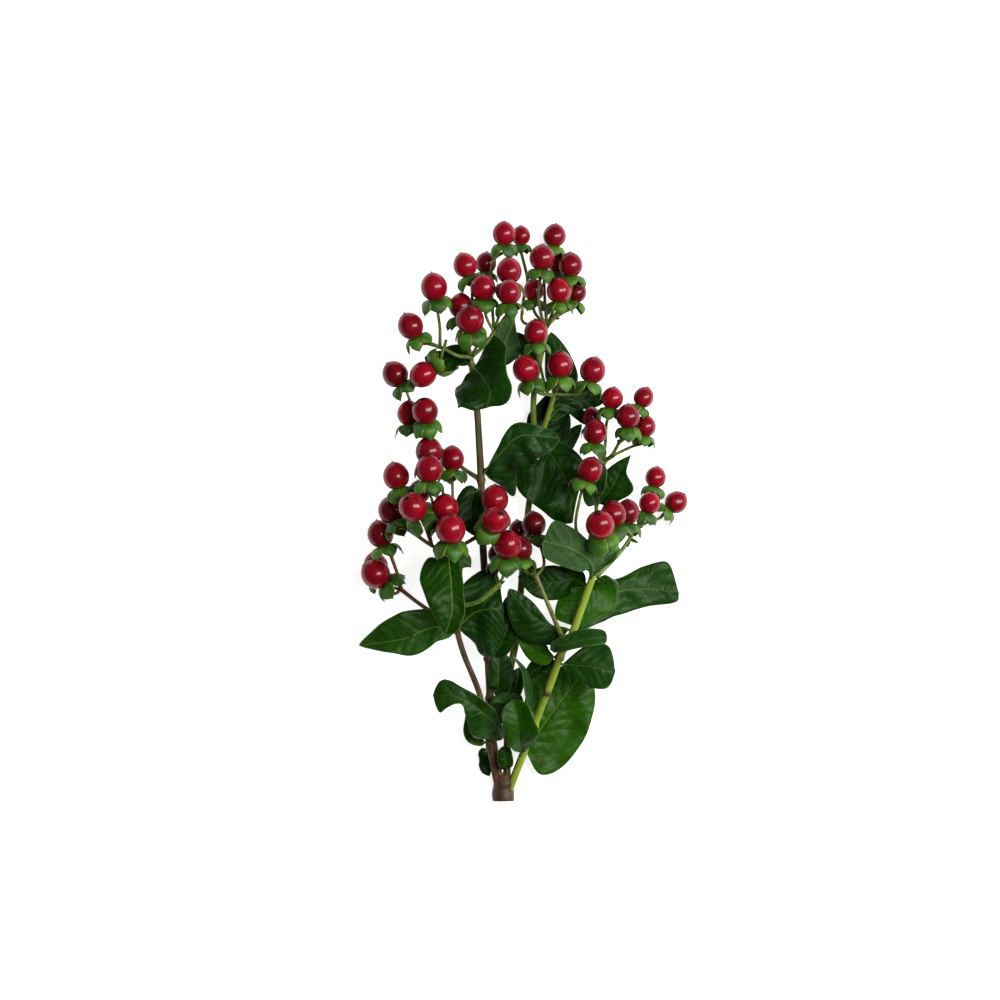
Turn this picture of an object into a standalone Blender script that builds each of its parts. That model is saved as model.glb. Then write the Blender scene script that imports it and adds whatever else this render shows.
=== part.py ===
# Hypericum in fruit: one cut, branching stem that lies on its back.
# Lengths in this file are millimetres until mesh data is made, and then metres.
# X runs across the stem, Y from the cut end to the tips and Z up from the surface.
import math
import random

import bmesh
import bpy
from mathutils import Matrix, Vector

# Driving dimensions
MM = 0.001
TOUCH_GAP = 0.3           # between nodes that touch
BASE_END_Y = -149.0       # clean cut at the lower end
BASE_TOP_Y = -136.0
BASE_RADIUS = 5.4
NODE_SWELL = 1.3          # swelling where leaves stand on a shoot
NODE_REACH = 2.6
BLADE_THICKNESS = 0.7
BLADE_ACROSS = 4          # strips across a blade
WAVE_LAG = 1.9            # of the right edge's wave behind the left one's
SHOOT_SPAN = 16.0         # length of a straight stretch of a shoot
NODE_CLEARANCE = 4.0      # other rings of a shoot stay this far from a node's middle
MERGE_DISTANCE = 0.01
TIP_LEAD = 1.5            # a head at a shoot's tip first follows the shoot this far
BRACT_LENGTH = 5.0
BRACT_RADII = (0.7, 1.5, 0.35)
PEDICEL_RADIUS = 0.75
STALK_OVERRUN = 0.7       # a stalk runs on past the point where pedicels leave it
STALK_END_SWELL = 1.15
CALYX_LOBES = 5
BERRY_SIDES = 2 * CALYX_LOBES

# Shares of a berry's half width: its outline from the apex down, as radius and height,
# and its sepals, which spread from under it and fall back
BERRY_OUTLINE = ((0, 1.14), (0.57, 0.83), (0.97, 0.2), (0.9, -0.46), (0.36, -0.96))
NECK_DROP = 1.28
NECK_FLARE = 1.6          # of the pedicel's radius
NECK_LENGTH = 1.7
SHOULDER = (0.66, 1.4)
SEPAL_SPREAD = 29
SEPAL_REACH = 0.84
SEPAL_FALL = 0.66
SEPAL_FALL_FROM = 1.1
SEPAL_VARIES = (0.88, 1.12)
SEED = 20

# The middle of the finished box, which becomes the origin in X and Y
BOX_MIDDLE = (-0.2, -3.26)

# Axis points and radii of the woody base, from the cut end up
BASE = (
    ((-10.4, BASE_END_Y, BASE_RADIUS), BASE_RADIUS),
    ((-10.4, BASE_END_Y + 7, BASE_RADIUS), BASE_RADIUS * 0.98),
    ((-10.2, BASE_TOP_Y - 3, 6.3), 5.0),
    ((-10.0, BASE_TOP_Y, 7.0), 3.2),
)

# Shoots: axis points from the base upwards, radius at the foot and at the top, leaf nodes by Y
SHOOTS = {
    "main": {
        "path": [(-10.5, -146, 5.4), (-14, -128, 8), (-16.5, -110, 11.5), (-17.2, -92.5, 16),
                 (-18, -75, 20), (-19, -47.5, 24), (-20.5, -20, 26), (-21.5, 12.5, 28),
                 (-22.5, 32.5, 30), (-23.5, 47.5, 32), (-26, 70.5, 34)],
        "radius": (2.0, 1.75),
        "nodes": (-115.0, -97.0, -77.0, 12.5),
    },
    "back": {
        "path": [(-8.5, -146, 5.2), (-8.5, -132, 5.6), (-8, -108, 8), (-7, -84.5, 10.5), (-4, -68, 11.5),
                 (2, -4.5, 13), (5.5, 25, 14), (5, 55.5, 14), (11, 86.5, 14)],
        "radius": (1.9, 1.35),
        "nodes": (-95.0, 28.0),
    },
    "lateral": {
        "path": [(5.3, 24, 14), (10, 38.5, 19), (14.5, 53, 24)],
        "radius": (1.3, 1.15),
        "nodes": (),
    },
    "bright": {
        "path": [(-8.2, -146, 6), (-3, -132, 10), (5.5, -109.5, 20), (14.75, -85.5, 27), (18, -76, 30),
                 (24, -64.5, 32), (35, -34, 34)],
        "radius": (2.2, 2.0),
        "nodes": (-110.5, -76.0, -68.5),
    },
    "dark": {
        "path": [(-12.5, -146, 6), (-15, -133.5, 9), (-18.5, -114, 16), (-22, -95.5, 22), (-30, -75, 28),
                 (-33.5, -62, 31), (-38.5, -25.5, 36)],
        "radius": (1.6, 1.4),
        "nodes": (-121.0, -62.0),
    },
}

# Heads: where each is rooted ("top" is the shoot's tip), its stalks and its berries.
# A stalk is its radius and its route; a route's "root" is the point where the head leaves the shoot.
# A berry is centre, radius, the way its apex points, and its pedicel's route up to the calyx.
HEADS = {
    "top_left": {
        "root": ("main", "top"), "radius": 1.5,
        "stalks": [
            (1.05, ["root", (-26.3, 74, 35.5)]),
            (0.95, [(-26.3, 74, 35.5), (-33, 74.5, 36.5), (-40, 78, 37.5), (-46.5, 80.5, 37)]),
            (0.9, [(-26.3, 74, 35.5), (-20, 79.5, 37), (-15, 86.5, 38)]),
            (0.85, [(-26.3, 74, 35.5), (-22.3, 82, 33.5)]),
        ],
        "berries": [
            ((-10, 136, 28), 5.75, (0, 1, 0.15), [(-15, 86.5, 38), (-16, 104, 31), (-15.8, 121, 28.5)]),
            ((-29.5, 120, 34), 6.0, (-0.35, 0.93, 0), [(-22.3, 82, 33.5), (-25.5, 98, 32)]),
            ((-19, 121.5, 17), 5.25, (0.05, 1, -0.1), [(-22.3, 82, 33.5), (-21.5, 100, 24)]),
            ((-7.5, 117, 38), 6.35, (0, 1, 0.1), [(-15, 86.5, 38), (-11, 99, 34)]),
            ((-20.5, 108.5, 44), 6.25, (-0.05, 0.93, 0.3), [(-15, 86.5, 38), (-18.5, 93, 40)]),
            ((-7.5, 106, 49.5), 6.0, (0, 0.95, 0.22), [(-15, 86.5, 38), (-10.5, 92.5, 43)]),
            ((-45, 109, 40), 6.7, (-0.2, 0.93, 0.3), [(-42, 79.2, 37.5), (-42, 88, 38), (-43, 96, 37)]),
            ((-31.5, 99.5, 36), 6.0, (0, 1, 0.05), [(-26.3, 74, 35.5), (-31, 82, 35)]),
            ((-27, 92.5, 50.5), 7.0, (-0.08, 0.75, 0.6), [(-26.3, 74, 35.5), (-27.5, 80, 40)]),
            ((-56.75, 89.5, 38), 6.4, (-0.45, 0.86, 0.2), [(-46.5, 80.5, 37)]),
            ((-50.5, 65, 40.5), 6.5, (-0.8, -0.58, 0.1),
             [(-40, 78, 37.5), (-39, 82, 40.5), (-40.6, 76.5, 42)]),
        ],
    },
    "top_right": {
        "root": ("back", "top"), "radius": 1.2,
        "stalks": [
            (1.0, ["root", (11.6, 89.5, 14)]),
            (0.95, [(11.6, 89.5, 14), (15, 93.5, 14)]),
        ],
        "berries": [
            ((-1.5, 135.5, 9), 4.75, (0, 1, 0),
             [(11.6, 89.5, 14), (0.2, 91.5, 9.5), (-0.9, 98, 6.8), (0.3, 106, 5.6), (1.8, 113.5, 6.5)]),
            ((15.5, 135.5, 9), 5.7, (0.1, 1, 0), [(11.6, 89.5, 14), (10.5, 104, 12), (10.5, 118, 12)]),
            ((9, 124, 25.5), 6.25, (0.08, 1, 0.1), [(11.6, 89.5, 14), (8.8, 95, 19), (7.2, 105, 22)]),
            ((23.5, 120.5, 19.5), 6.0, (-0.05, 1, 0), [(15, 93.5, 14), (22, 103, 16)]),
            ((17, 122, 4.82), 5.0, (0, 1, 0), [(11.6, 89.5, 14), (16, 102, 7.5)]),
            ((5, 108, 13.5), 5.25, (0.05, 1, 0), [(11.6, 89.5, 14), (6.2, 95.5, 13.5)]),
            ((17.5, 107.5, 25), 6.1, (0, 1, 0.15), [(11.6, 89.5, 14), (14.5, 94, 20)]),
            ((26.5, 107, 9.5), 5.0, (0.2, 1, -0.05), [(15, 93.5, 14), (20.5, 97, 12)]),
        ],
    },
    "centre_high": {
        "root": ("lateral", "top"), "radius": 1.1,
        "stalks": [
            (0.95, ["root", (15.2, 55.5, 25)]),
        ],
        "berries": [
            ((6, 86.5, 34), 6.0, (-0.03, 1, 0.08), [(15.2, 55.5, 25), (11.8, 56, 27), (8, 70, 31)]),
            ((0.75, 68, 39), 6.5, (-0.3, 0.93, 0.2), [(15.2, 55.5, 25), (9, 55.5, 29)]),
            ((18, 70, 37), 6.5, (0, 1, 0.1), [(15.2, 55.5, 25), (16.5, 57.5, 28)]),
            ((34.5, 67.5, 28), 6.5, (0.22, 0.97, 0), [(15.2, 55.5, 25), (25.5, 55.3, 25)]),
        ],
    },
    "right_high": {
        "root": ("bright", -36.0), "radius": 1.1,
        "stalks": [
            (1.0, ["root", (38.5, -26, 28), (37, -12, 22.5), (36.5, 3, 19.5), (40, 20, 19.5),
                   (44, 24.5, 23)]),
            (0.85, [(44, 24.5, 23), (47.5, 31, 26.5)]),
        ],
        "berries": [
            ((44.25, 53.5, 31), 5.35, (0.15, 0.97, 0.1), [(40, 20, 19.5), (41, 33, 20), (41.4, 41, 24)]),
            ((60, 54, 26), 5.1, (0.4, 0.9, 0), [(47.5, 31, 26.5), (53.5, 41, 23.5)]),
            ((52, 44.25, 37), 5.9, (0, 1, 0.15), [(47.5, 31, 26.5)]),
            ((60.8, 39.5, 26.5), 5.25, (0.1, 1, 0), [(44, 24.5, 23), (53.5, 29, 24)]),
            ((34, 44, 21), 4.9, (-0.1, 1, 0), [(40, 20, 19.5), (37.5, 31, 18)]),
            ((35.5, 36.5, 35), 6.0, (0.08, 1, 0.1), [(40, 20, 19.5), (37, 25, 27)]),
        ],
    },
    "right_low": {
        "root": ("bright", "top"), "radius": 1.7,
        "stalks": [
            (1.3, ["root", (35, -30, 35.5), (33.5, -24, 37.5)]),
        ],
        "berries": [
            ((33, 17.5, 46), 6.2, (0.35, 0.93, 0.1), [(33.5, -24, 37.5), (26, -12, 38.5), (27.8, 3, 42)]),
            ((37.75, -9.75, 57), 7.1, (-0.15, 0.75, 0.62), [(33.5, -24, 37.5), (39.3, -15.5, 43)]),
            ((44.5, -4.5, 44.5), 6.45, (-0.1, 1, 0.1), [(33.5, -24, 37.5), (42, -18, 39)]),
            ((51.8, -3.5, 33.5), 6.0, (0, 1, 0), [(33.5, -24, 37.5), (46, -19.5, 34.5)]),
        ],
    },
    "right": {
        "root": ("bright", -38.5), "radius": 1.1,
        "stalks": [
            (1.0, ["root", (47.5, -24.5, 25), (53, -17, 22), (57.3, -11.25, 19)]),
        ],
        "bracts": [((53, -17, 22), (-0.25, -0.9, 0.3)), ((53, -17, 22), (0.9, -0.35, 0.2))],
        "berries": [
            ((66.25, 14, 12.5), 5.15, (0.2, 0.97, 0), [(57.3, -11.25, 19), (60.8, -2, 14.5)]),
            ((63, 1, 24), 5.35, (0.3, 0.93, 0.1), [(57.3, -11.25, 19)]),
            ((76.75, 1.5, 5.15), 5.5, (0.72, 0.68, 0),
             [(57.3, -11.25, 19), (63, -8.3, 13.5), (68, -6.8, 8.5)]),
        ],
    },
    "centre_low": {
        "root": ("dark", -51.0), "radius": 1.3,
        "stalks": [
            (1.15, ["root", (-29, -50, 38.5), (-21.5, -47.5, 43), (-12.5, -40, 45)]),
        ],
        "berries": [
            ((-8.25, -19.75, 50), 7.0, (0.08, 0.9, 0.4), [(-12.5, -40, 45), (-9.3, -33, 45)]),
            ((-13, -24.5, 35), 5.0, (0.05, 1, 0), [(-12.5, -40, 45), (-13.8, -35.5, 39)]),
        ],
    },
    "centre": {
        "root": ("bright", -70.5), "radius": 1.2,
        "stalks": [
            (1.05, ["root", (13, -52, 41), (6, -35.5, 42)]),
        ],
        "berries": [
            ((-1.5, -21.8, 38), 5.75, (-0.1, 1, 0), [(6, -35.5, 42), (1.2, -33.5, 40)]),
            ((5, -9.5, 30.5), 5.9, (-0.1, 1, 0.05), [(6, -35.5, 42), (10, -29.5, 38.5), (8, -20, 33)]),
            ((-3, -12.5, 20.5), 4.6, (-0.1, 1, 0), [(6, -35.5, 42), (3.2, -28, 33), (0.6, -21, 25)]),
        ],
    },
    "left": {
        "root": ("dark", "top"), "radius": 1.2,
        "stalks": [
            (1.1, ["root", (-39, -22.5, 37.5)]),
            (0.95, [(-39, -22.5, 37.5), (-46, -20.3, 40), (-57.5, -12.25, 38)]),
            (0.9, [(-39, -22.5, 37.5), (-43.5, -8.5, 41)]),
            (0.95, [(-39, -22.5, 37.5), (-31, -20, 40.5), (-23, -15.5, 43)]),
        ],
        "berries": [
            ((-47.5, 27, 34), 6.75, (0, 1, 0.1), [(-43.5, -8.5, 41), (-43.5, 8, 35.5)]),
            ((-36, 23.25, 26), 6.15, (0, 1, 0), [(-39, -22.5, 37.5), (-36.5, -10, 33.5), (-35.7, 3, 29.5)]),
            ((-47.5, 18, 47), 6.65, (0, 0.98, 0.15), [(-43.5, -8.5, 41), (-45.8, 2, 44)]),
            ((-64, 14.5, 36), 6.6, (-0.25, 0.95, 0), [(-57.5, -12.25, 38), (-59.6, -4, 36)]),
            ((-66.5, -2.75, 29), 6.5, (-0.4, 0.86, -0.2), [(-57.5, -12.25, 38), (-61.5, -11, 34)]),
            ((-55.5, -1, 52.5), 7.15, (-0.4, 0.6, 0.65), [(-46, -20.3, 40), (-49.5, -10.5, 44)]),
            ((-52.5, 6.5, 29), 5.5, (-0.1, 1, 0), [(-46, -20.3, 40), (-49, -6, 32.5)]),
            ((-39.25, -1.5, 46), 6.7, (0, 0.95, 0.25), [(-39, -22.5, 37.5), (-39.6, -14, 41)]),
            ((-36.5, -12, 58.5), 7.35, (0.02, 0.92, 0.36), [(-39, -22.5, 37.5), (-37.3, -23.2, 48)]),
            ((-14.5, 3, 46), 6.7, (0, 1, 0.08), [(-23, -15.5, 43), (-17.5, -8, 42.5)]),
            ((-14, -7.5, 59), 6.75, (0.35, 0.52, 0.78), [(-23, -15.5, 43), (-19.5, -14.5, 47)]),
        ],
    },
    "left_low": {
        "root": ("dark", -58.0), "radius": 1.2,
        "stalks": [
            (1.0, ["root", (-48.5, -52, 27), (-61.5, -42.5, 21)]),
            (0.85, [(-61.5, -42.5, 21), (-63, -35.8, 22), (-67, -24.5, 22)]),
        ],
        "berries": [
            ((-72, -14.5, 22.5), 6.5, (-0.3, 0.93, 0.1), [(-67, -24.5, 22)]),
            ((-74.5, -30.5, 6.19), 6.25, (-0.35, 0.92, 0.1), [(-61.5, -42.5, 21), (-65.5, -44.5, 14)]),
            ((-74.5, -34.5, 21), 7.1, (-0.75, 0.6, 0.25), [(-61.5, -42.5, 21)]),
        ],
    },
    "left_high": {
        "root": ("main", 12.5), "radius": 1.1,
        "stalks": [
            (0.95, ["root", (-30, 18, 19.5), (-36, 23, 15), (-44, 30, 16.5), (-50.5, 34.5, 21)]),
        ],
        "berries": [
            ((-57.5, 46, 25), 6.0, (-0.05, 1, 0.05), [(-50.5, 34.5, 21), (-54.5, 36.5, 22)]),
            ((-49.5, 47, 39), 6.5, (-0.1, 0.86, 0.45), [(-50.5, 34.5, 21), (-47.8, 37, 28.5)]),
            ((-64.5, 65.5, 31), 6.35, (-0.55, 0.8, 0.1),
             [(-50.5, 34.5, 21), (-53, 43, 13.5), (-57.8, 54, 22)]),
        ],
    },
}

# Leaves: the shoot and the Y where each stands, its midrib's route, and its half widths seen from above,
# at even steps from base to tip. Left and right are as seen along the midrib. A half width that comes as
# a pair also holds how far its edge lies ahead along the midrib. A fold lifts that half towards the upper
# face, in degrees, a roll turns the blade about its midrib, and a wave is its height and its count.
LEAVES = {
    "leaf_top_curled": {
        "on": ("main", 69.3), "spine": [(-20.5, 63.5, 43), (-17, 56.5, 50), (-18.5, 48.5, 53)],
        "left": ((15.5, -8), (19, -6.5), (11.5, 1), (11, 2.5), 7),
        "right": (4.5, (10, -7), (16, -7), (17, 6), (8, 6)),
        "fold": (12, -10), "wave": (0.8, 1.4)},
    "leaf_top_left": {
        "on": ("main", 68.6), "spine": [(-32, 74, 30.5), (-41, 72.5, 28.5), (-49.5, 74, 26)],
        "left": (5, 6, 8, 4.5), "right": (5, 6.5, 5, 3.5), "fold": (10, 10), "wave": (0.8, 1.3)},
    "leaf_top_pale": {
        "on": ("main", 67.4), "spine": [(-16, 74, 28.5), (-9, 83, 25.5), (-4, 97, 24.5)],
        "left": (3, 5, 7, 5),
        "right": ((5.5, 5.5), (9.5, 7), (5, 2), 1), "fold": (8, 8), "under": True},
    "leaf_high_left": {
        "on": ("back", 70.0), "spine": [(4.5, 72.5, 18), (1, 78.5, 20), (-3.5, 86.5, 20)],
        "left": (2.5, 4, 4, 2.5), "right": (3, 4.5, 4.5, 2.5), "fold": (6, 6)},
    "leaf_high_back": {
        "on": ("lateral", 51.0), "spine": [(18, 60, 16), (18.5, 72, 9.5), (13.5, 87, 7)],
        "left": (2.5, 7.5, 8, 4.5), "right": (3, 8.5, 6, 3), "fold": (-10, -8)},
    "leaf_high_dark": {
        "on": ("back", 29.5), "spine": [(8.5, 37, 9), (12, 46, 8), (13, 56, 8)],
        "left": (6, 9, 8, 4), "right": (10.5, 13.5, 11.5, 5), "fold": (6, 6)},
    "leaf_high_pale": {
        "on": ("back", 25.0), "spine": [(16, 26, 6), (23, 33.5, 4), (29, 40.5, 4)],
        "left": (2.5, 4, 4, 2.5), "right": (2.5, 4.5, 4.5, 2.5), "fold": (6, 6), "under": True},
    "leaf_high_right": {
        "on": ("lateral", 41.5), "spine": [(21, 50.5, 13.5), (30, 52.5, 10.5), (41, 53, 9.5)],
        "left": (3, 5.5, 6.5, 4.5), "right": (3, 4.5, 4.5, 3.5), "fold": (-10, -10)},
    "leaf_high_thin": {
        "on": ("lateral", 46.5), "spine": [(18, 50.5, 18.5), (24.5, 48.5, 16.5), (30.5, 40.5, 12.5)],
        "left": (3, 4, 4, 2.5), "right": (2.5, 3.5, 3, 1.5), "fold": (12, 12)},
    "leaf_centre_rising": {
        "on": ("main", 14.0), "spine": [(-12, 25.5, 37.5), (-1.5, 34.5, 43.5), (17.5, 33.5, 44)],
        "left": (0.5, (3, 1), (6, 5), (5.5, 1), 3.5),
        "right": ((18.5, -8), (12.5, -3), 16, (9, 9), (3.5, 4)),
        "fold": (-14, -16), "wave": (0.8, 1.6)},
    "leaf_centre_hanging": {
        "on": ("main", 9.5), "spine": [(-25.5, 4.5, 31.8), (-26.5, -5, 32.4), (-24, -15.5, 31.6)],
        "left": (4.5, 7, 8, 5), "right": (5.5, 8, 7, 3.5), "fold": (4, 4)},
    "leaf_centre_broad": {
        "on": ("back", 24.0), "spine": [(12.5, 26, 24), (18, 18.5, 27), (23.2, 6.5, 29), (24, -9, 29.5)],
        "left": ((3, 4), 8.5, (12, 1.5), 7.5, 3, 1),
        "right": ((4, -1), (18, -8.5), (23.5, -1.5), (20, 3.5), (12, 8), (5.5, 4)),
        "fold": (-8, 2), "wave": (0.8, 1.7)},
    "leaf_right_pointed": {
        "on": ((36.6, 0.0, 19.6), (0, 1, 0), 1.0),
        "spine": [(40, 3.5, 23), (44.5, 9.5, 25), (48.5, 17.5, 26), (53.5, 25, 27.5)],
        "left": (3, 5, 7, 5, 2), "right": (4, 7.5, 10, 3.5, 1), "fold": (8, 8), "wave": (0.7, 1.6)},
    "leaf_right_narrow": {
        "on": ((36.6, -1.0, 19.8), (0, 1, 0), 1.0),
        "spine": [(34.8, 4, 26.5), (36, 11, 32.5), (39.5, 21, 34.5)],
        "left": (4, 5.5, 5.5, 3.5), "right": (3, 5, 5, 3.5), "fold": (10, 10)},
    "leaf_underside": {
        "on": ("bright", -38.0),
        "spine": [(34, -30.5, 42), (30, -25.5, 46.5), (21, -21, 50), (9.5, -18, 49)],
        "left": (2, (7, -1), (9.5, 1), (9.5, 3), (7, 2)),
        "right": ((8.5, 8), (16, -6.5), (7.5, -5), (10, -1), (11, 1)), "fold": (-6, -8),
        "wave": (0.8, 1.2), "under": True},
    "leaf_right_behind": {
        "on": ("bright", -37.0), "spine": [(33, -41.5, 26), (27, -50, 27), (19, -58.5, 27)],
        "left": ((8, -9), (12.5, -9), (15.5, -8), (11.5, -4.5), (8, -1.5)),
        "right": (4, (9, 1.5), (9.5, 5.5), (7, 6), (3.5, 3.5)), "fold": (-6, -6)},
    "leaf_centre_shade": {
        "on": ("bright", -41.5), "spine": [(25, -37, 28), (17, -38.5, 28), (7, -38.5, 28), (-3, -36, 27.5)],
        "left": (4, 7.5, 9, 8, 3.5), "right": (4, 7, 8.5, 7.5, 4), "fold": (4, 4)},
    "leaf_right_long": {
        "on": ("bright", -65.5), "spine": [(31, -57, 14), (44, -45, 10), (60.5, -42, 7), (78, -44, 5.5)],
        "left": (2, 6, 8, (6.5, 1.5), 11, (14, -1.5)),
        "right": (2, 5, (8.5, -3.5), (11.5, -1.5), 9.5, (5.5, 4.5)),
        "fold": (-5, -5), "wave": (0.8, 1.5)},
    "leaf_right_folded": {
        "on": ("bright", -73.0),
        "spine": [(15.5, -71, 37.5), (20, -69.5, 41.5), (31, -67, 44.5), (41.5, -65.5, 43)],
        "left": (2, 3.5, 5, 5.5, (3.5, 1.5)), "right": (2, 3.5, 3.5, 3.5, (3.5, 1.5)),
        "fold": (30, 34), "wave": (0.6, 1.5)},
    "leaf_right_lower": {
        "on": ("bright", -79.5), "spine": [(25, -80, 32.5), (35, -81, 35), (45.5, -83.5, 34)],
        "left": (2.5, 8, 12, (12.5, -1.5), (10.5, -2)), "right": (3, 7, 9.5, 10.5, (8.5, 1.5)),
        "fold": (-10, -12), "wave": (0.8, 1.4)},
    "leaf_low_biggest": {
        "on": ("bright", -130.5), "spine": [(7, -115, 10.5), (16.5, -101.5, 10.5), (32, -81.5, 11)],
        "left": (3, 10, 15.5, 20, 14, 8),
        "right": ((11.5, -10.5), (19.5, -10), (21, -1), (17.5, 3), (13, 3), 7),
        "fold": (4, -4), "wave": (0.8, 1.7)},
    "leaf_centre_dark": {
        "on": ("bright", -63.0), "spine": [(12, -60, 31), (2, -53, 34), (-7.5, -42, 34)],
        "left": (6.5, (10.5, -2), (12.5, -1.5), 9.5, 4.5),
        "right": (1, (1, -2.5), (3.5, -2.5), (5, -1.5), (3, -1)), "fold": (-8, -8)},
    "leaf_centre_light": {
        "on": ("bright", -76.5), "spine": [(10, -75.5, 27), (3, -71, 25), (-4, -63, 24)],
        "left": (4, 5.5, 4, 2), "right": (4, 6, 6, 3), "fold": (6, 6)},
    "leaf_centre_small": {
        "on": ("bright", -84.0), "spine": [(11, -80, 22), (6, -82.5, 20), (1, -87.5, 18)],
        "left": (3.5, 4.5, 4, 2.5), "right": (3.5, 5, 4.5, 2.5), "fold": (8, 8)},
    "leaf_left_front": {
        "on": ("dark", -28.5),
        "spine": [(-37.5, -27.5, 43.5), (-36, -42.5, 50.5), (-36, -53.5, 51.5), (-39, -64.5, 49.5)],
        "left": ((4.5, -4), 5.5, 6, 6, 6.5, 5),
        "right": ((7.5, -3), (13, -3), (15.5, -2.5), (13.5, -1), 10.5, 4.5),
        "fold": (9, 9), "wave": (0.5, 1.5)},
    "leaf_left_small": {
        "on": ("dark", -30.5), "spine": [(-33, -28.5, 34), (-29.5, -28.5, 34.5), (-26.5, -31, 33.5)],
        "left": (4, 6, 4.5, 1.5), "right": (5, 8, 5, 1.5), "fold": (-10, -10), "under": True},
    "leaf_left_long": {
        "on": ("dark", -64.5), "spine": [(-45, -61, 34), (-61, -67, 34), (-82.4, -70.3, 27.5)],
        "left": (6, (9, 1.5), 9.5, (6, -2), (3, -1.5)),
        "right": (6, (10.5, -1), (13, -1), (10, 1), 4.5),
        "fold": (10, 12), "wave": (1.0, 1.8)},
    "leaf_left_folded": {
        "on": ("dark", -61.5), "spine": [(-25, -54, 34.5), (-17.5, -52, 36.5), (-10.5, -52, 36)],
        "left": ((8.5, 6.5), (14.5, 6), (18, 1), 20, 16),
        "right": ((3.5, -5), (13, -9), (21.5, -7.5), (24, -1.5), (17, 3.5)),
        "fold": (-15, -14), "wave": (0.7, 1.3)},
    "leaf_centre_upright": {
        "on": ("main", -78.5), "spine": [(-12, -70, 25.5), (-8, -60, 27), (-8.5, -46, 26)],
        "left": (5, 6.5, 6, 3), "right": (5, 6.5, 4.5, 2.5), "fold": (6, 6)},
    "leaf_low_upright": {
        "on": ("main", -95.5), "spine": [(-13, -92, 20.5), (-12.5, -83.5, 21.5), (-12, -73.5, 20.5)],
        "left": (4, 5, 4.8, 3.5), "right": (5, 7, 7, 5), "fold": (6, 6)},
    "leaf_low_waved": {
        "on": ("back", -117.5),
        "spine": [(-11.5, -113.5, 20), (-18, -106, 30), (-28, -98, 35.5), (-37, -95, 36), (-45.5, -95, 34)],
        "left": (1.5, (7, -1.5), (12.5, -1), (6.5, 2.5), 3, (9, 1.5)),
        "right": (1.2, 2.5, 4.7, 5, 5, 7.5),
        "fold": (6, 6), "wave": (1.2, 1.7)},
    "leaf_low_left": {
        "on": ("dark", -119.5), "spine": [(-22.5, -119, 13.5), (-27.5, -114, 15), (-29, -105.5, 14.5)],
        "left": (2, 3.5, 2.5, 1), "right": (4, 5, 5, 4.5), "fold": (8, 8)},
    "leaf_low_cupped": {
        "on": ("bright", -127.0), "spine": [(-2, -119, 25), (-3, -108, 31), (-5.5, -97.5, 30)],
        "left": (1.5, 4.5, 7, 8, 6), "right": (2.5, 6.5, 10, 8, 6), "fold": (30, 22), "wave": (0.6, 1.2)},
    "leaf_low_edge": {
        "on": ("bright", -108.5), "spine": [(3, -101, 26), (1.5, -88, 28.5), (-5.5, -75, 27)],
        "left": (3.4, 4, 4, 3), "right": (3.4, 4, 4, 3), "fold": (10, 10), "roll": (60, 70)},
    "leaf_low_shade": {
        "on": ("main", -108.5), "spine": [(-11.5, -105, 17), (-9, -100.5, 21.5), (-9.5, -93.8, 22.5)],
        "left": (4.5, 7.5, 8, 7), "right": (4, 7.5, 8.5, 7.5), "fold": (6, 6)},
    "leaf_base_left": {
        "on": ("dark", -123.0), "spine": [(-20.5, -124.5, 7), (-18.5, -129, 3.5), (-17.5, -136.5, 2.8)],
        "left": (2, 4, 5, 1.5), "right": (1.5, 3, 4.5, 3.5), "fold": (4, 4)},
    "leaf_base_thin": {
        "on": ("back", -134.5), "spine": [(-9, -130.5, 13.5), (-9.5, -126, 15.5), (-9.5, -120.8, 15.5)],
        "left": (2, 3.6, 4, 3), "right": (2, 3.6, 4, 3), "fold": (10, 10)},
    "leaf_low_back": {
        "on": ("back", -98.0), "spine": [(-4.5, -93.5, 14.5), (-3, -87.5, 15.5), (-2, -81.5, 15)],
        "left": (2, 5.5, 6, 3), "right": (3, 3.5, 3.5, 2), "fold": (6, 6)},
}

# Colour, roughness and metallic value of each material
MATERIALS = {
    "bark": ((0.16, 0.11, 0.05, 1), 0.55, 0.0),
    "stalk": ((0.10, 0.20, 0.03, 1), 0.5, 0.0),
    "berry": ((0.30, 0.003, 0.012, 1), 0.25, 0.0),
    "leaf_upper": ((0.012, 0.055, 0.012, 1), 0.4, 0.0),
    "leaf_under": ((0.09, 0.18, 0.08, 1), 0.6, 0.0),
}


def smooth_path(points, steps):
    """Points along a Catmull-Rom curve through the given points."""
    points = [Vector(point) for point in points]
    if len(points) == 2:
        return points
    before = [points[0] * 2 - points[1]] + points
    after = points + [points[-1] * 2 - points[-2]]
    route = [points[0]]
    for index in range(len(points) - 1):
        p0, p1, p2, p3 = before[index], points[index], points[index + 1], after[index + 2]
        for step in range(1, steps + 1):
            t = step / steps
            route.append(0.5 * (2 * p1 + (p2 - p0) * t + (2 * p0 - 5 * p1 + 4 * p2 - p3) * t ** 2
                                + (3 * p1 - p0 - 3 * p2 + p3) * t ** 3))
    return route


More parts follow.
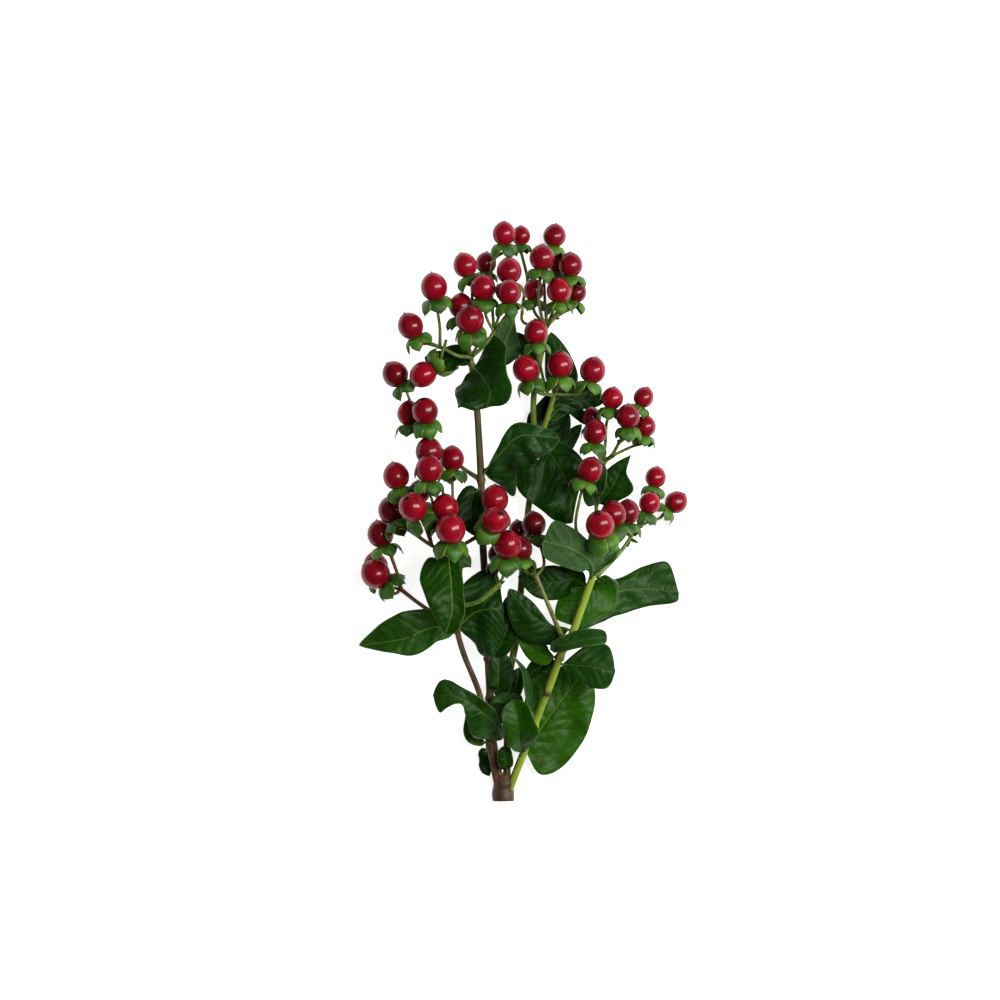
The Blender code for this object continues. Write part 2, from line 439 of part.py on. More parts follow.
def shoot_point(name, y):
    """Axis point, direction and radius of a shoot at a height Y."""
    path = [Vector(point) for point in SHOOTS[name]["path"]]
    last = len(path) - 1
    y = min(max(y, path[0].y), path[last].y)
    index = max(i for i in range(last) if path[i].y <= y)
    low, high = path[index], path[index + 1]
    span = high.y - low.y
    slopes = []
    for i in (index, index + 1):
        ahead, behind = path[min(i + 1, last)], path[max(i - 1, 0)]
        slopes.append((ahead - behind) / (ahead.y - behind.y))
    t = (y - low.y) / span
    point = (low * (2 * t ** 3 - 3 * t ** 2 + 1) + slopes[0] * span * (t ** 3 - 2 * t ** 2 + t)
             + high * (3 * t ** 2 - 2 * t ** 3) + slopes[1] * span * (t ** 3 - t ** 2))
    along = slopes[0].lerp(slopes[1], t).normalized()
    foot, tip = SHOOTS[name]["radius"]
    part_way = (y - path[0].y) / (path[last].y - path[0].y)
    radius = foot + (tip - foot) * part_way
    nearest = min([abs(y - node) for node in SHOOTS[name]["nodes"]] + [NODE_REACH])
    radius *= 1 + (NODE_SWELL - 1) * (1 - nearest / NODE_REACH)
    return point, along, radius


def shoot_end_way(name):
    """Direction in which a shoot ends."""
    return shoot_point(name, SHOOTS[name]["path"][-1][1])[1]


def leaving_point(on, towards, own_radius):
    """Where a stalk or a blade starts, a gap clear of the shoot that carries it."""
    if isinstance(on[0], str) and on[1] == "top":
        tip, along, _ = shoot_point(on[0], SHOOTS[on[0]]["path"][-1][1])
        return tip + along * TOUCH_GAP
    if isinstance(on[0], str):
        point, along, radius = shoot_point(*on)
    else:
        point, along, radius = Vector(on[0]), Vector(on[1]).normalized(), on[2]
    way = (Vector(towards) - point).normalized()
    lean = abs(way.dot(along))
    across = math.sqrt(1 - lean ** 2)
    return point + way * (radius + TOUCH_GAP + own_radius * lean) / across


def leaf_frames(leaf, shares):
    """Midrib point, its direction, side and face direction at each share of a blade's length."""
    start = leaving_point(leaf["on"], leaf["spine"][0], BLADE_THICKNESS / 2)
    route = smooth_path([start] + list(leaf["spine"]), 12)
    lengths = [0.0]
    for near, far in zip(route, route[1:]):
        lengths.append(lengths[-1] + (far - near).length)
    frames = []
    for u in shares:
        wanted = u * lengths[-1]
        index = max(i for i in range(len(route) - 1) if lengths[i] <= wanted + 1e-9)
        part_way = (wanted - lengths[index]) / (lengths[index + 1] - lengths[index])
        point = route[index].lerp(route[index + 1], part_way)
        behind, ahead = route[max(index - 1, 0)], route[min(index + 2, len(route) - 1)]
        along = (ahead - behind).normalized()
        face = Vector((0, 0, 1))
        face = (face - along * face.dot(along)).normalized()
        start_roll, end_roll = leaf.get("roll", (0, 0))
        face.rotate(Matrix.Rotation(math.radians(start_roll + (end_roll - start_roll) * u), 3, along))
        frames.append((u, point, along, along.cross(face), face))
    return frames


def blade_point(leaf, frame, row, v):
    """A point of the blade: v runs from -1 at the left edge over 0 on the midrib to 1 at the right edge."""
    u, point, along, side, face = frame
    half = 1 if v > 0 else 0
    given = (leaf["left"], leaf["right"])[half][row]
    width, ahead = given if isinstance(given, tuple) else (given, 0)
    lift = math.tan(math.radians(leaf["fold"][half]))
    height, count = leaf.get("wave", (0.4, 1.5))
    ripple = height * math.sin(math.tau * count * u + WAVE_LAG * half) * v * v
    return point + side * v * width + along * abs(v) * ahead + face * (abs(v) * width * lift + ripple)


def make_material(name):
    colour, roughness, metallic = MATERIALS[name]
    material = bpy.data.materials.new(name)
    material.use_nodes = True
    shader = material.node_tree.nodes["Principled BSDF"]
    shader.inputs["Base Color"].default_value = colour
    shader.inputs["Roughness"].default_value = roughness
    shader.inputs["Metallic"].default_value = metallic
    material.diffuse_color = colour
    return material


def place(x, y, z):
    """A layout point in the part's own frame, in metres."""
    return Vector((x - BOX_MIDDLE[0], y - BOX_MIDDLE[1], z)) * MM


def new_object(name, mesh, collection):
    thing = bpy.data.objects.new(name, mesh)
    collection.objects.link(thing)
    return thing


def evaluated_mesh(thing):
    bpy.context.view_layer.update()
    depsgraph = bpy.context.evaluated_depsgraph_get()
    mesh = bpy.data.meshes.new_from_object(thing.evaluated_get(depsgraph), depsgraph=depsgraph)
    mesh.transform(thing.matrix_world)
    return mesh


def tube(route, radii, resolution, collection):
    """A stalk or shoot with filled caps, made a closed mesh."""
    curve = bpy.data.curves.new("tube", "CURVE")
    curve.dimensions = "3D"
    curve.bevel_depth = MM
    curve.bevel_resolution = resolution
    curve.use_fill_caps = True
    spline = curve.splines.new("POLY")
    spline.points.add(len(route) - 1)
    for bend, point, radius in zip(spline.points, route, radii):
        bend.co = place(*point).to_4d()
        bend.radius = radius
    guide = new_object("tube_guide", curve, collection)
    mesh = evaluated_mesh(guide)
    bpy.data.objects.remove(guide)
    bpy.data.curves.remove(curve)
    body = bmesh.new()
    body.from_mesh(mesh)
    bmesh.ops.remove_doubles(body, verts=body.verts, dist=MERGE_DISTANCE * MM)
    bmesh.ops.recalc_face_normals(body, faces=body.faces)
    bmesh.ops.triangulate(body, faces=body.faces)
    body.to_mesh(mesh)
    body.free()
    return new_object("tube", mesh, collection)


def ring(centre, axis, side, radius, turns):
    """Points round an axis, at the given angles from the side direction."""
    other = axis.cross(side)
    return [centre + (side * math.cos(turn) + other * math.sin(turn)) * radius for turn in turns]


def band(near, far):
    """Triangles between two rings of equally many points."""
    count = len(near)
    faces = []
    for i in range(count):
        j = (i + 1) % count
        faces += [(near[i], near[j], far[j]), (near[i], far[j], far[i])]
    return faces


def fruit(centre, radius, apex, route, draw, collection):
    """A berry, the five reflexed sepals under it and its pedicel, lofted as one closed body."""
    side = Vector((0, 0, 1)).cross(apex) if abs(apex.z) < 0.9 else Vector((1, 0, 0)).cross(apex)
    side = Matrix.Rotation(draw.uniform(0, math.tau), 3, apex) @ side.normalized()
    points, faces = [], []

    def add(new_points):
        points.extend(new_points)
        return list(range(len(points) - len(new_points), len(points)))

    step = math.tau / BERRY_SIDES
    around = [step * k for k in range(BERRY_SIDES)]
    tip = add([centre + apex * radius * BERRY_OUTLINE[0][1]])[0]
    rings = [add(ring(centre + apex * radius * z, apex, side, radius * r, around))
             for r, z in BERRY_OUTLINE[1:]]
    faces += [(tip, rings[0][k], rings[0][(k + 1) % BERRY_SIDES]) for k in range(BERRY_SIDES)]
    for near, far in zip(rings, rings[1:]):
        faces += band(near, far)
    berry_faces = len(faces)
    # Sepals: lobe i lies between the ring's points 2i - 1 and 2i + 1, and the stalk's ring stands below
    foot = rings[-1]
    valleys = [around[2 * i - 1] for i in range(CALYX_LOBES)]
    neck = add(ring(centre - apex * radius * NECK_DROP, apex, side, PEDICEL_RADIUS * NECK_FLARE, valleys))
    for i in range(CALYX_LOBES):
        before, middle, after = foot[2 * i - 1], foot[2 * i], foot[(2 * i + 1) % BERRY_SIDES]
        low, high = neck[i], neck[(i + 1) % CALYX_LOBES]
        long = draw.uniform(*SEPAL_VARIES)
        turns = [around[2 * i] + math.radians(turn) for turn in (-SEPAL_SPREAD, SEPAL_SPREAD)]
        shoulder = centre - apex * radius * SHOULDER[1]
        left, right = add(ring(shoulder, apex, side, radius * SHOULDER[0], turns))
        end = add(ring(centre - apex * radius * (SEPAL_FALL_FROM + SEPAL_FALL * long), apex, side,
                       radius * SEPAL_REACH * long, [around[2 * i]]))[0]
        faces += [(before, left, middle), (middle, left, end), (middle, end, right), (middle, right, after)]
        faces += [(before, low, left), (left, low, end), (low, high, end)]
        faces += [(high, right, end), (high, after, right)]
    # The pedicel, from the neck down to the stalk it grows from
    stations = [centre - apex * (radius * NECK_DROP + NECK_LENGTH)]
    stations += [Vector(point) for point in reversed(route)]
    way, last = -apex, neck
    for index, station in enumerate(stations):
        behind = stations[index - 1] if index else centre - apex * radius
        ahead = stations[min(index + 1, len(stations) - 1)]
        new_way = (ahead - behind).normalized()
        side.rotate(way.rotation_difference(new_way))
        way = new_way
        this = add(ring(station, -way, side, PEDICEL_RADIUS, valleys))
        faces += band(last, this)
        last = this
    faces += [(last[0], last[k], last[k + 1]) for k in range(1, CALYX_LOBES - 1)]
    mesh = bpy.data.meshes.new("fruit")
    mesh.from_pydata([place(*point) for point in points], [], faces)
    for index, face in enumerate(mesh.polygons):
        face.material_index = 1 if index < berry_faces else 0
    body = bmesh.new()
    body.from_mesh(mesh)
    bmesh.ops.recalc_face_normals(body, faces=body.faces)
    body.to_mesh(mesh)
    body.free()
    return new_object("fruit", mesh, collection)


def fuse(name, pieces, materials, collection):
    """One closed body from pieces that overlap."""
    others = bpy.data.collections.new(name + "_pieces")
    bpy.context.scene.collection.children.link(others)
    for piece in pieces[1:]:
        others.objects.link(piece)
        collection.objects.unlink(piece)
    for piece in pieces:
        piece.data.materials.clear()
        for material in materials:
            piece.data.materials.append(material)
    join = pieces[0].modifiers.new("Union", "BOOLEAN")
    join.operation = "UNION"
    join.operand_type = "COLLECTION"
    join.collection = others
    join.solver = "EXACT"
    mesh = evaluated_mesh(pieces[0])
    for piece in pieces:
        bpy.data.objects.remove(piece)
    bpy.data.collections.remove(others)
    mesh.name = name
    return new_object(name, mesh, collection)


def make_stem(materials, collection):
    """The woody base and the shoots that rise from it, grown together."""
    pieces = [tube([point for point, _ in BASE], [radius for _, radius in BASE], 2, collection)]
    for name, shoot in SHOOTS.items():
        first, last = shoot["path"][0][1], shoot["path"][-1][1]
        spans = max(round((last - first) / SHOOT_SPAN), 2)
        heights = {first + (last - first) * step / spans for step in range(spans + 1)}
        for node in shoot["nodes"]:
            heights = {y for y in heights if abs(y - node) > NODE_CLEARANCE or y in (first, last)}
            heights |= {node - NODE_REACH, node, node + NODE_REACH}
        heights = [y for y in sorted(heights) if first <= y <= last]
        stations = [shoot_point(name, y) for y in heights]
        pieces.append(tube([station[0] for station in stations], [station[2] for station in stations],
                           2 if name != "lateral" else 1, collection))
    return fuse("stem", pieces, [materials["bark"]], collection)


def make_head(name, head, materials, draw, collection):
    """One fruiting head: stalks, calyces and berries grown together."""
    first_stalk = head["stalks"][0][1]
    root = leaving_point(head["root"], first_stalk[1], head["radius"])
    pieces = []
    for radius, route in head["stalks"]:
        rooted = route[0] == "root"
        route = [root if point == "root" else Vector(point) for point in route]
        if rooted and head["root"][1] == "top":
            route.insert(1, root + shoot_end_way(head["root"][0]) * TIP_LEAD)
        route = smooth_path(route, 2 if len(route) < 5 else 1)
        route[-1] = route[-1] + (route[-1] - route[-2]).normalized() * STALK_OVERRUN
        radii = [radius] * len(route)
        if rooted:
            radii[0] = head["radius"]
        radii[-1] = radius * STALK_END_SWELL
        pieces.append(tube(route, radii, 1, collection))
    for start, way in head.get("bracts", []):
        way = Vector(way).normalized()
        reach = [Vector(start) + way * BRACT_LENGTH * share for share in (0, 0.44, 1)]
        pieces.append(tube(reach, BRACT_RADII, 0, collection))
    for centre, radius, apex, route in head["berries"]:
        apex = Vector(apex).normalized()
        pieces.append(fruit(Vector(centre), radius, apex, route, draw, collection))
    return fuse("head_" + name, pieces, [materials["stalk"], materials["berry"]], collection)


def make_leaf(name, leaf, materials, collection):
    """One blade: an open sheet of triangles, thickened."""
    rows = len(leaf["left"])
    frames = leaf_frames(leaf, [0] + [(row + 0.5) / rows for row in range(rows)] + [1])
    points = [frames[0][1]]
    for row, frame in enumerate(frames[1:-1]):
        points += [blade_point(leaf, frame, row, 2 * column / BLADE_ACROSS - 1)
                   for column in range(BLADE_ACROSS + 1)]
    points.append(frames[-1][1])
    stride = BLADE_ACROSS + 1
    tip = len(points) - 1
    faces = []
    for column in range(BLADE_ACROSS):
        last = 1 + (rows - 1) * stride + column
        faces += [(0, 1 + column + 1, 1 + column), (tip, last, last + 1)]
        for row in range(rows - 1):
            low = 1 + row * stride + column
            high = low + stride
            if column < BLADE_ACROSS / 2:
                faces += [(low, low + 1, high + 1), (low, high + 1, high)]
            else:
                faces += [(low, low + 1, high), (low + 1, high + 1, high)]
    mesh = bpy.data.meshes.new(name)
    mesh.from_pydata([place(*point) for point in points], [], faces)
    mesh.materials.append(materials["leaf_under" if leaf.get("under") else "leaf_upper"])
    blade = new_object(name, mesh, collection)
    thicken = blade.modifiers.new("Solidify", "SOLIDIFY")
    thicken.thickness = BLADE_THICKNESS * MM
    thicken.offset = 0
    return blade


def main():
    for thing in list(bpy.data.objects):
        bpy.data.objects.remove(thing)
    collection = bpy.data.collections.new("hypericum_berry_stem")
    bpy.context.scene.collection.children.link(collection)
    materials = {name: make_material(name) for name in MATERIALS}
    draw = random.Random(SEED)
    make_stem(materials, collection)
    for name, head in HEADS.items():
        make_head(name, head, materials, draw, collection)
    for name, leaf in LEAVES.items():
        make_leaf(name, leaf, materials, collection)


main()
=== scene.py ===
# Looks of a hypericum stem in fruit that lies on a pale surface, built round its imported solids.
# Lengths here are millimetres in the layout of the stem: X across it, Y from the cut end to the
# tips, Z up. Mesh data is made in metres, in the frame's own place.
import math
import random

import bmesh
import bpy
import numpy as np
from mathutils import Matrix, Vector


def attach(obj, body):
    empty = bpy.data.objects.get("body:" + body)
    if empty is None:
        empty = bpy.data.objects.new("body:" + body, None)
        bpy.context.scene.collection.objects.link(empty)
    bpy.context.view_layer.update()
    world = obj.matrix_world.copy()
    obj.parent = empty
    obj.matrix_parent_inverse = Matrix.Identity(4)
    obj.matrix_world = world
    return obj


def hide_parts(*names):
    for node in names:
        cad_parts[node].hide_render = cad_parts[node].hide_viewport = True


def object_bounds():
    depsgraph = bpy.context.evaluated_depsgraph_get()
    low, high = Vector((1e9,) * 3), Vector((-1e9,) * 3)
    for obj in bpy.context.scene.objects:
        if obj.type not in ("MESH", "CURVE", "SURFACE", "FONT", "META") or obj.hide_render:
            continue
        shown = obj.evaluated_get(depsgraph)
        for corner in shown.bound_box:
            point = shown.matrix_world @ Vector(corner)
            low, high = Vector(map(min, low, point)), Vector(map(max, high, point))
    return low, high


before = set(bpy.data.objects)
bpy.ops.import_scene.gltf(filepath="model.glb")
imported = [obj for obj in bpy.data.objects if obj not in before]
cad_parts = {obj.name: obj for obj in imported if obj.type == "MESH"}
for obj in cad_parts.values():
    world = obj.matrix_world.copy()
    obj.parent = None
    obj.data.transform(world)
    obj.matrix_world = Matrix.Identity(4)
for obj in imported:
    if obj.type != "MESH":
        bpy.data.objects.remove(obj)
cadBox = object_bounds()
print("frame loaded:", len(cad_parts), "nodes")

mm = 0.001
boxMiddle = (-0.2, -3.26)   # the layout point over the origin
touchGap = 0.3              # between a shoot and what stands on it
nodeSwell, nodeReach = 1.3, 2.6   # how much a shoot thickens at a leaf node, and how far to each side
tipLead = 1.5               # a head at a shoot's tip first follows the shoot this far
stalkOverrun = 0.7          # how far a stalk runs on into its fork
pedicelRadius = 0.75        # of the stalk of a single berry
leafRootRadius = 0.35       # of a leaf's stalk where it leaves its shoot

# Shoots: axis points from the base upwards, radius at the foot and at the top, leaf nodes by Y
shoots = {
    "main": {
        "path": [(-10.5, -146, 5.4), (-14, -128, 8), (-16.5, -110, 11.5), (-17.2, -92.5, 16),
                 (-18, -75, 20), (-19, -47.5, 24), (-20.5, -20, 26), (-21.5, 12.5, 28),
                 (-22.5, 32.5, 30), (-23.5, 47.5, 32), (-26, 70.5, 34)],
        "radius": (2.0, 1.75),
        "nodes": (-115.0, -97.0, -77.0, 12.5),
    },
    "back": {
        "path": [(-8.5, -146, 5.2), (-8.5, -132, 5.6), (-8, -108, 8), (-7, -84.5, 10.5), (-4, -68, 11.5),
                 (2, -4.5, 13), (5.5, 25, 14), (5, 55.5, 14), (11, 86.5, 14)],
        "radius": (1.9, 1.35),
        "nodes": (-95.0, 28.0),
    },
    "lateral": {
        "path": [(5.3, 24, 14), (10, 38.5, 19), (14.5, 53, 24)],
        "radius": (1.3, 1.15),
        "nodes": (),
    },
    "bright": {
        "path": [(-8.2, -146, 6), (-3, -132, 10), (5.5, -109.5, 20), (14.75, -85.5, 27), (18, -76, 30),
                 (24, -64.5, 32), (35, -34, 34)],
        "radius": (2.2, 2.0),
        "nodes": (-110.5, -76.0, -68.5),
    },
    "dark": {
        "path": [(-12.5, -146, 6), (-15, -133.5, 9), (-18.5, -114, 16), (-22, -95.5, 22), (-30, -75, 28),
                 (-33.5, -62, 31), (-38.5, -25.5, 36)],
        "radius": (1.6, 1.4),
        "nodes": (-121.0, -62.0),
    },
}

# Heads: where each is rooted ("top" is the shoot's tip), its stalks and its berries.
# A stalk is its radius and its route; a route's "root" is the point where the head leaves the shoot.
# A berry is centre, radius, the way its apex points, and its pedicel's route up to the calyx.
# A plain number in a route is the end of that stalk in the head's list.
heads = {
    "top_left": {
        "root": ("main", "top"), "radius": 1.5,
        "stalks": [
            (1.05, ["root", (-26.3, 74, 35.5)]),
            (0.95, [0, (-33, 74.5, 36.5), (-40, 78, 37.5), (-46.5, 80.5, 37)]),
            (0.9, [0, (-20, 79.5, 37), (-15, 86.5, 38)]),
            (0.85, [0, (-22.3, 82, 33.5)]),
        ],
        "berries": [
            ((-10, 136, 28), 5.75, (0, 1, 0.15), [2, (-16, 104, 31), (-15.8, 121, 28.5)]),
            ((-29.5, 120, 34), 6.0, (-0.35, 0.93, 0), [3, (-25.5, 98, 32)]),
            ((-19, 121.5, 17), 5.25, (0.05, 1, -0.1), [3, (-21.5, 100, 24)]),
            ((-7.5, 117, 38), 6.35, (0, 1, 0.1), [2, (-11, 99, 34)]),
            ((-20.5, 108.5, 44), 6.25, (-0.05, 0.93, 0.3), [2, (-18.5, 93, 40)]),
            ((-7.5, 106, 49.5), 6.0, (0, 0.95, 0.22), [2, (-10.5, 92.5, 43)]),
            ((-45, 109, 40), 6.7, (-0.2, 0.93, 0.3), [(-42, 79.2, 37.5), (-42, 88, 38), (-43, 96, 37)]),
            ((-31.5, 99.5, 36), 6.0, (0, 1, 0.05), [0, (-31, 82, 35)]),
            ((-27, 92.5, 50.5), 7.0, (-0.08, 0.75, 0.6), [0, (-27.5, 80, 40)]),
            ((-56.75, 89.5, 38), 6.4, (-0.45, 0.86, 0.2), [1]),
            ((-50.5, 65, 40.5), 6.5, (-0.8, -0.58, 0.1),
             [(-40, 78, 37.5), (-39, 82, 40.5), (-40.6, 76.5, 42)]),
        ],
    },
    "top_right": {
        "root": ("back", "top"), "radius": 1.2,
        "stalks": [
            (1.0, ["root", (11.6, 89.5, 14)]),
            (0.95, [0, (15, 93.5, 14)]),
        ],
        "berries": [
            ((-1.5, 135.5, 9), 4.75, (0, 1, 0),
             [0, (0.2, 91.5, 9.5), (-0.9, 98, 6.8), (0.3, 106, 5.6), (1.8, 113.5, 6.5)]),
            ((15.5, 135.5, 9), 5.7, (0.1, 1, 0), [0, (10.5, 104, 12), (10.5, 118, 12)]),
            ((9, 124, 25.5), 6.25, (0.08, 1, 0.1), [0, (8.8, 95, 19), (7.2, 105, 22)]),
            ((23.5, 120.5, 19.5), 6.0, (-0.05, 1, 0), [1, (22, 103, 16)]),
            ((17, 122, 4.82), 5.0, (0, 1, 0), [0, (16, 102, 7.5)]),
            ((5, 108, 13.5), 5.25, (0.05, 1, 0), [0, (6.2, 95.5, 13.5)]),
            ((17.5, 107.5, 25), 6.1, (0, 1, 0.15), [0, (14.5, 94, 20)]),
            ((26.5, 107, 9.5), 5.0, (0.2, 1, -0.05), [1, (20.5, 97, 12)]),
        ],
    },
    "centre_high": {
        "root": ("lateral", "top"), "radius": 1.1,
        "stalks": [
            (0.95, ["root", (15.2, 55.5, 25)]),
        ],
        "berries": [
            ((6, 86.5, 34), 6.0, (-0.03, 1, 0.08), [0, (11.8, 56, 27), (8, 70, 31)]),
            ((0.75, 68, 39), 6.5, (-0.3, 0.93, 0.2), [0, (9, 55.5, 29)]),
            ((18, 70, 37), 6.5, (0, 1, 0.1), [0, (16.5, 57.5, 28)]),
            ((34.5, 67.5, 28), 6.5, (0.22, 0.97, 0), [0, (25.5, 55.3, 25)]),
        ],
    },
    "right_high": {
        "root": ("bright", -36.0), "radius": 1.1,
        "stalks": [
            (1.0, ["root", (38.5, -26, 28), (37, -12, 22.5), (36.5, 3, 19.5), (40, 20, 19.5),
                   (44, 24.5, 23)]),
            (0.85, [0, (47.5, 31, 26.5)]),
        ],
        "berries": [
            ((44.25, 53.5, 31), 5.35, (0.15, 0.97, 0.1), [(40, 20, 19.5), (41, 33, 20), (41.4, 41, 24)]),
            ((60, 54, 26), 5.1, (0.4, 0.9, 0), [1, (53.5, 41, 23.5)]),
            ((52, 44.25, 37), 5.9, (0, 1, 0.15), [1]),
            ((60.8, 39.5, 26.5), 5.25, (0.1, 1, 0), [0, (53.5, 29, 24)]),
            ((34, 44, 21), 4.9, (-0.1, 1, 0), [(40, 20, 19.5), (37.5, 31, 18)]),
            ((35.5, 36.5, 35), 6.0, (0.08, 1, 0.1), [(40, 20, 19.5), (37, 25, 27)]),
        ],
    },
    "right_low": {
        "root": ("bright", "top"), "radius": 1.7,
        "stalks": [
            (1.3, ["root", (35, -30, 35.5), (33.5, -24, 37.5)]),
        ],
        "berries": [
            ((33, 17.5, 46), 6.2, (0.35, 0.93, 0.1), [0, (26, -12, 38.5), (27.8, 3, 42)]),
            ((37.75, -9.75, 57), 7.1, (-0.15, 0.75, 0.62), [0, (39.3, -15.5, 43)]),
            ((44.5, -4.5, 44.5), 6.45, (-0.1, 1, 0.1), [0, (42, -18, 39)]),
            ((51.8, -3.5, 33.5), 6.0, (0, 1, 0), [0, (46, -19.5, 34.5)]),
        ],
    },
    "right": {
        "root": ("bright", -38.5), "radius": 1.1,
        "stalks": [
            (1.0, ["root", (47.5, -24.5, 25), (53, -17, 22), (57.3, -11.25, 19)]),
        ],
        "bracts": [((53, -17, 22), (-0.25, -0.9, 0.3)), ((53, -17, 22), (0.9, -0.35, 0.2))],
        "berries": [
            ((66.25, 14, 12.5), 5.15, (0.2, 0.97, 0), [0, (60.8, -2, 14.5)]),
            ((63, 1, 24), 5.35, (0.3, 0.93, 0.1), [0]),
            ((76.75, 1.5, 5.15), 5.5, (0.72, 0.68, 0), [0, (63, -8.3, 13.5), (68, -6.8, 8.5)]),
        ],
    },
    "centre_low": {
        "root": ("dark", -51.0), "radius": 1.3,
        "stalks": [
            (1.15, ["root", (-29, -50, 38.5), (-21.5, -47.5, 43), (-12.5, -40, 45)]),
        ],
        "berries": [
            ((-8.25, -19.75, 50), 7.0, (0.08, 0.9, 0.4), [0, (-9.3, -33, 45)]),
            ((-13, -24.5, 35), 5.0, (0.05, 1, 0), [0, (-13.8, -35.5, 39)]),
        ],
    },
    "centre": {
        "root": ("bright", -70.5), "radius": 1.2,
        "stalks": [
            (1.05, ["root", (13, -52, 41), (6, -35.5, 42)]),
        ],
        "berries": [
            ((-1.5, -21.8, 38), 5.75, (-0.1, 1, 0), [0, (1.2, -33.5, 40)]),
            ((5, -9.5, 30.5), 5.9, (-0.1, 1, 0.05), [0, (10, -29.5, 38.5), (8, -20, 33)]),
            ((-3, -12.5, 20.5), 4.6, (-0.1, 1, 0), [0, (3.2, -28, 33), (0.6, -21, 25)]),
        ],
    },
    "left": {
        "root": ("dark", "top"), "radius": 1.2,
        "stalks": [
            (1.1, ["root", (-39, -22.5, 37.5)]),
            (0.95, [0, (-46, -20.3, 40), (-57.5, -12.25, 38)]),
            (0.9, [0, (-43.5, -8.5, 41)]),
            (0.95, [0, (-31, -20, 40.5), (-23, -15.5, 43)]),
        ],
        "berries": [
            ((-47.5, 27, 34), 6.75, (0, 1, 0.1), [2, (-43.5, 8, 35.5)]),
            ((-36, 23.25, 26), 6.15, (0, 1, 0), [0, (-36.5, -10, 33.5), (-35.7, 3, 29.5)]),
            ((-47.5, 18, 47), 6.65, (0, 0.98, 0.15), [2, (-45.8, 2, 44)]),
            ((-64, 14.5, 36), 6.6, (-0.25, 0.95, 0), [1, (-59.6, -4, 36)]),
            ((-66.5, -2.75, 29), 6.5, (-0.4, 0.86, -0.2), [1, (-61.5, -11, 34)]),
            ((-55.5, -1, 52.5), 7.15, (-0.4, 0.6, 0.65), [(-46, -20.3, 40), (-49.5, -10.5, 44)]),
            ((-52.5, 6.5, 29), 5.5, (-0.1, 1, 0), [(-46, -20.3, 40), (-49, -6, 32.5)]),
            ((-39.25, -1.5, 46), 6.7, (0, 0.95, 0.25), [0, (-39.6, -14, 41)]),
            ((-36.5, -12, 58.5), 7.35, (0.02, 0.92, 0.36), [0, (-37.3, -23.2, 48)]),
            ((-14.5, 3, 46), 6.7, (0, 1, 0.08), [3, (-17.5, -8, 42.5)]),
            ((-14, -7.5, 59), 6.75, (0.35, 0.52, 0.78), [3, (-19.5, -14.5, 47)]),
        ],
    },
    "left_low": {
        "root": ("dark", -58.0), "radius": 1.2,
        "stalks": [
            (1.0, ["root", (-48.5, -52, 27), (-61.5, -42.5, 21)]),
            (0.85, [0, (-63, -35.8, 22), (-67, -24.5, 22)]),
        ],
        "berries": [
            ((-72, -14.5, 22.5), 6.5, (-0.3, 0.93, 0.1), [1]),
            ((-74.5, -30.5, 6.19), 6.25, (-0.35, 0.92, 0.1), [0, (-65.5, -44.5, 14)]),
            ((-74.5, -34.5, 21), 7.1, (-0.75, 0.6, 0.25), [0]),
        ],
    },
    "left_high": {
        "root": ("main", 12.5), "radius": 1.1,
        "stalks": [
            (0.95, ["root", (-30, 18, 19.5), (-36, 23, 15), (-44, 30, 16.5), (-50.5, 34.5, 21)]),
        ],
        "berries": [
            ((-57.5, 46, 25), 6.0, (-0.05, 1, 0.05), [0, (-54.5, 36.5, 22)]),
            ((-49.5, 47, 39), 6.5, (-0.1, 0.86, 0.45), [0, (-47.8, 37, 28.5)]),
            ((-64.5, 65.5, 31), 6.35, (-0.55, 0.8, 0.1), [0, (-53, 43, 13.5), (-57.8, 54, 22)]),
        ],
    },
}

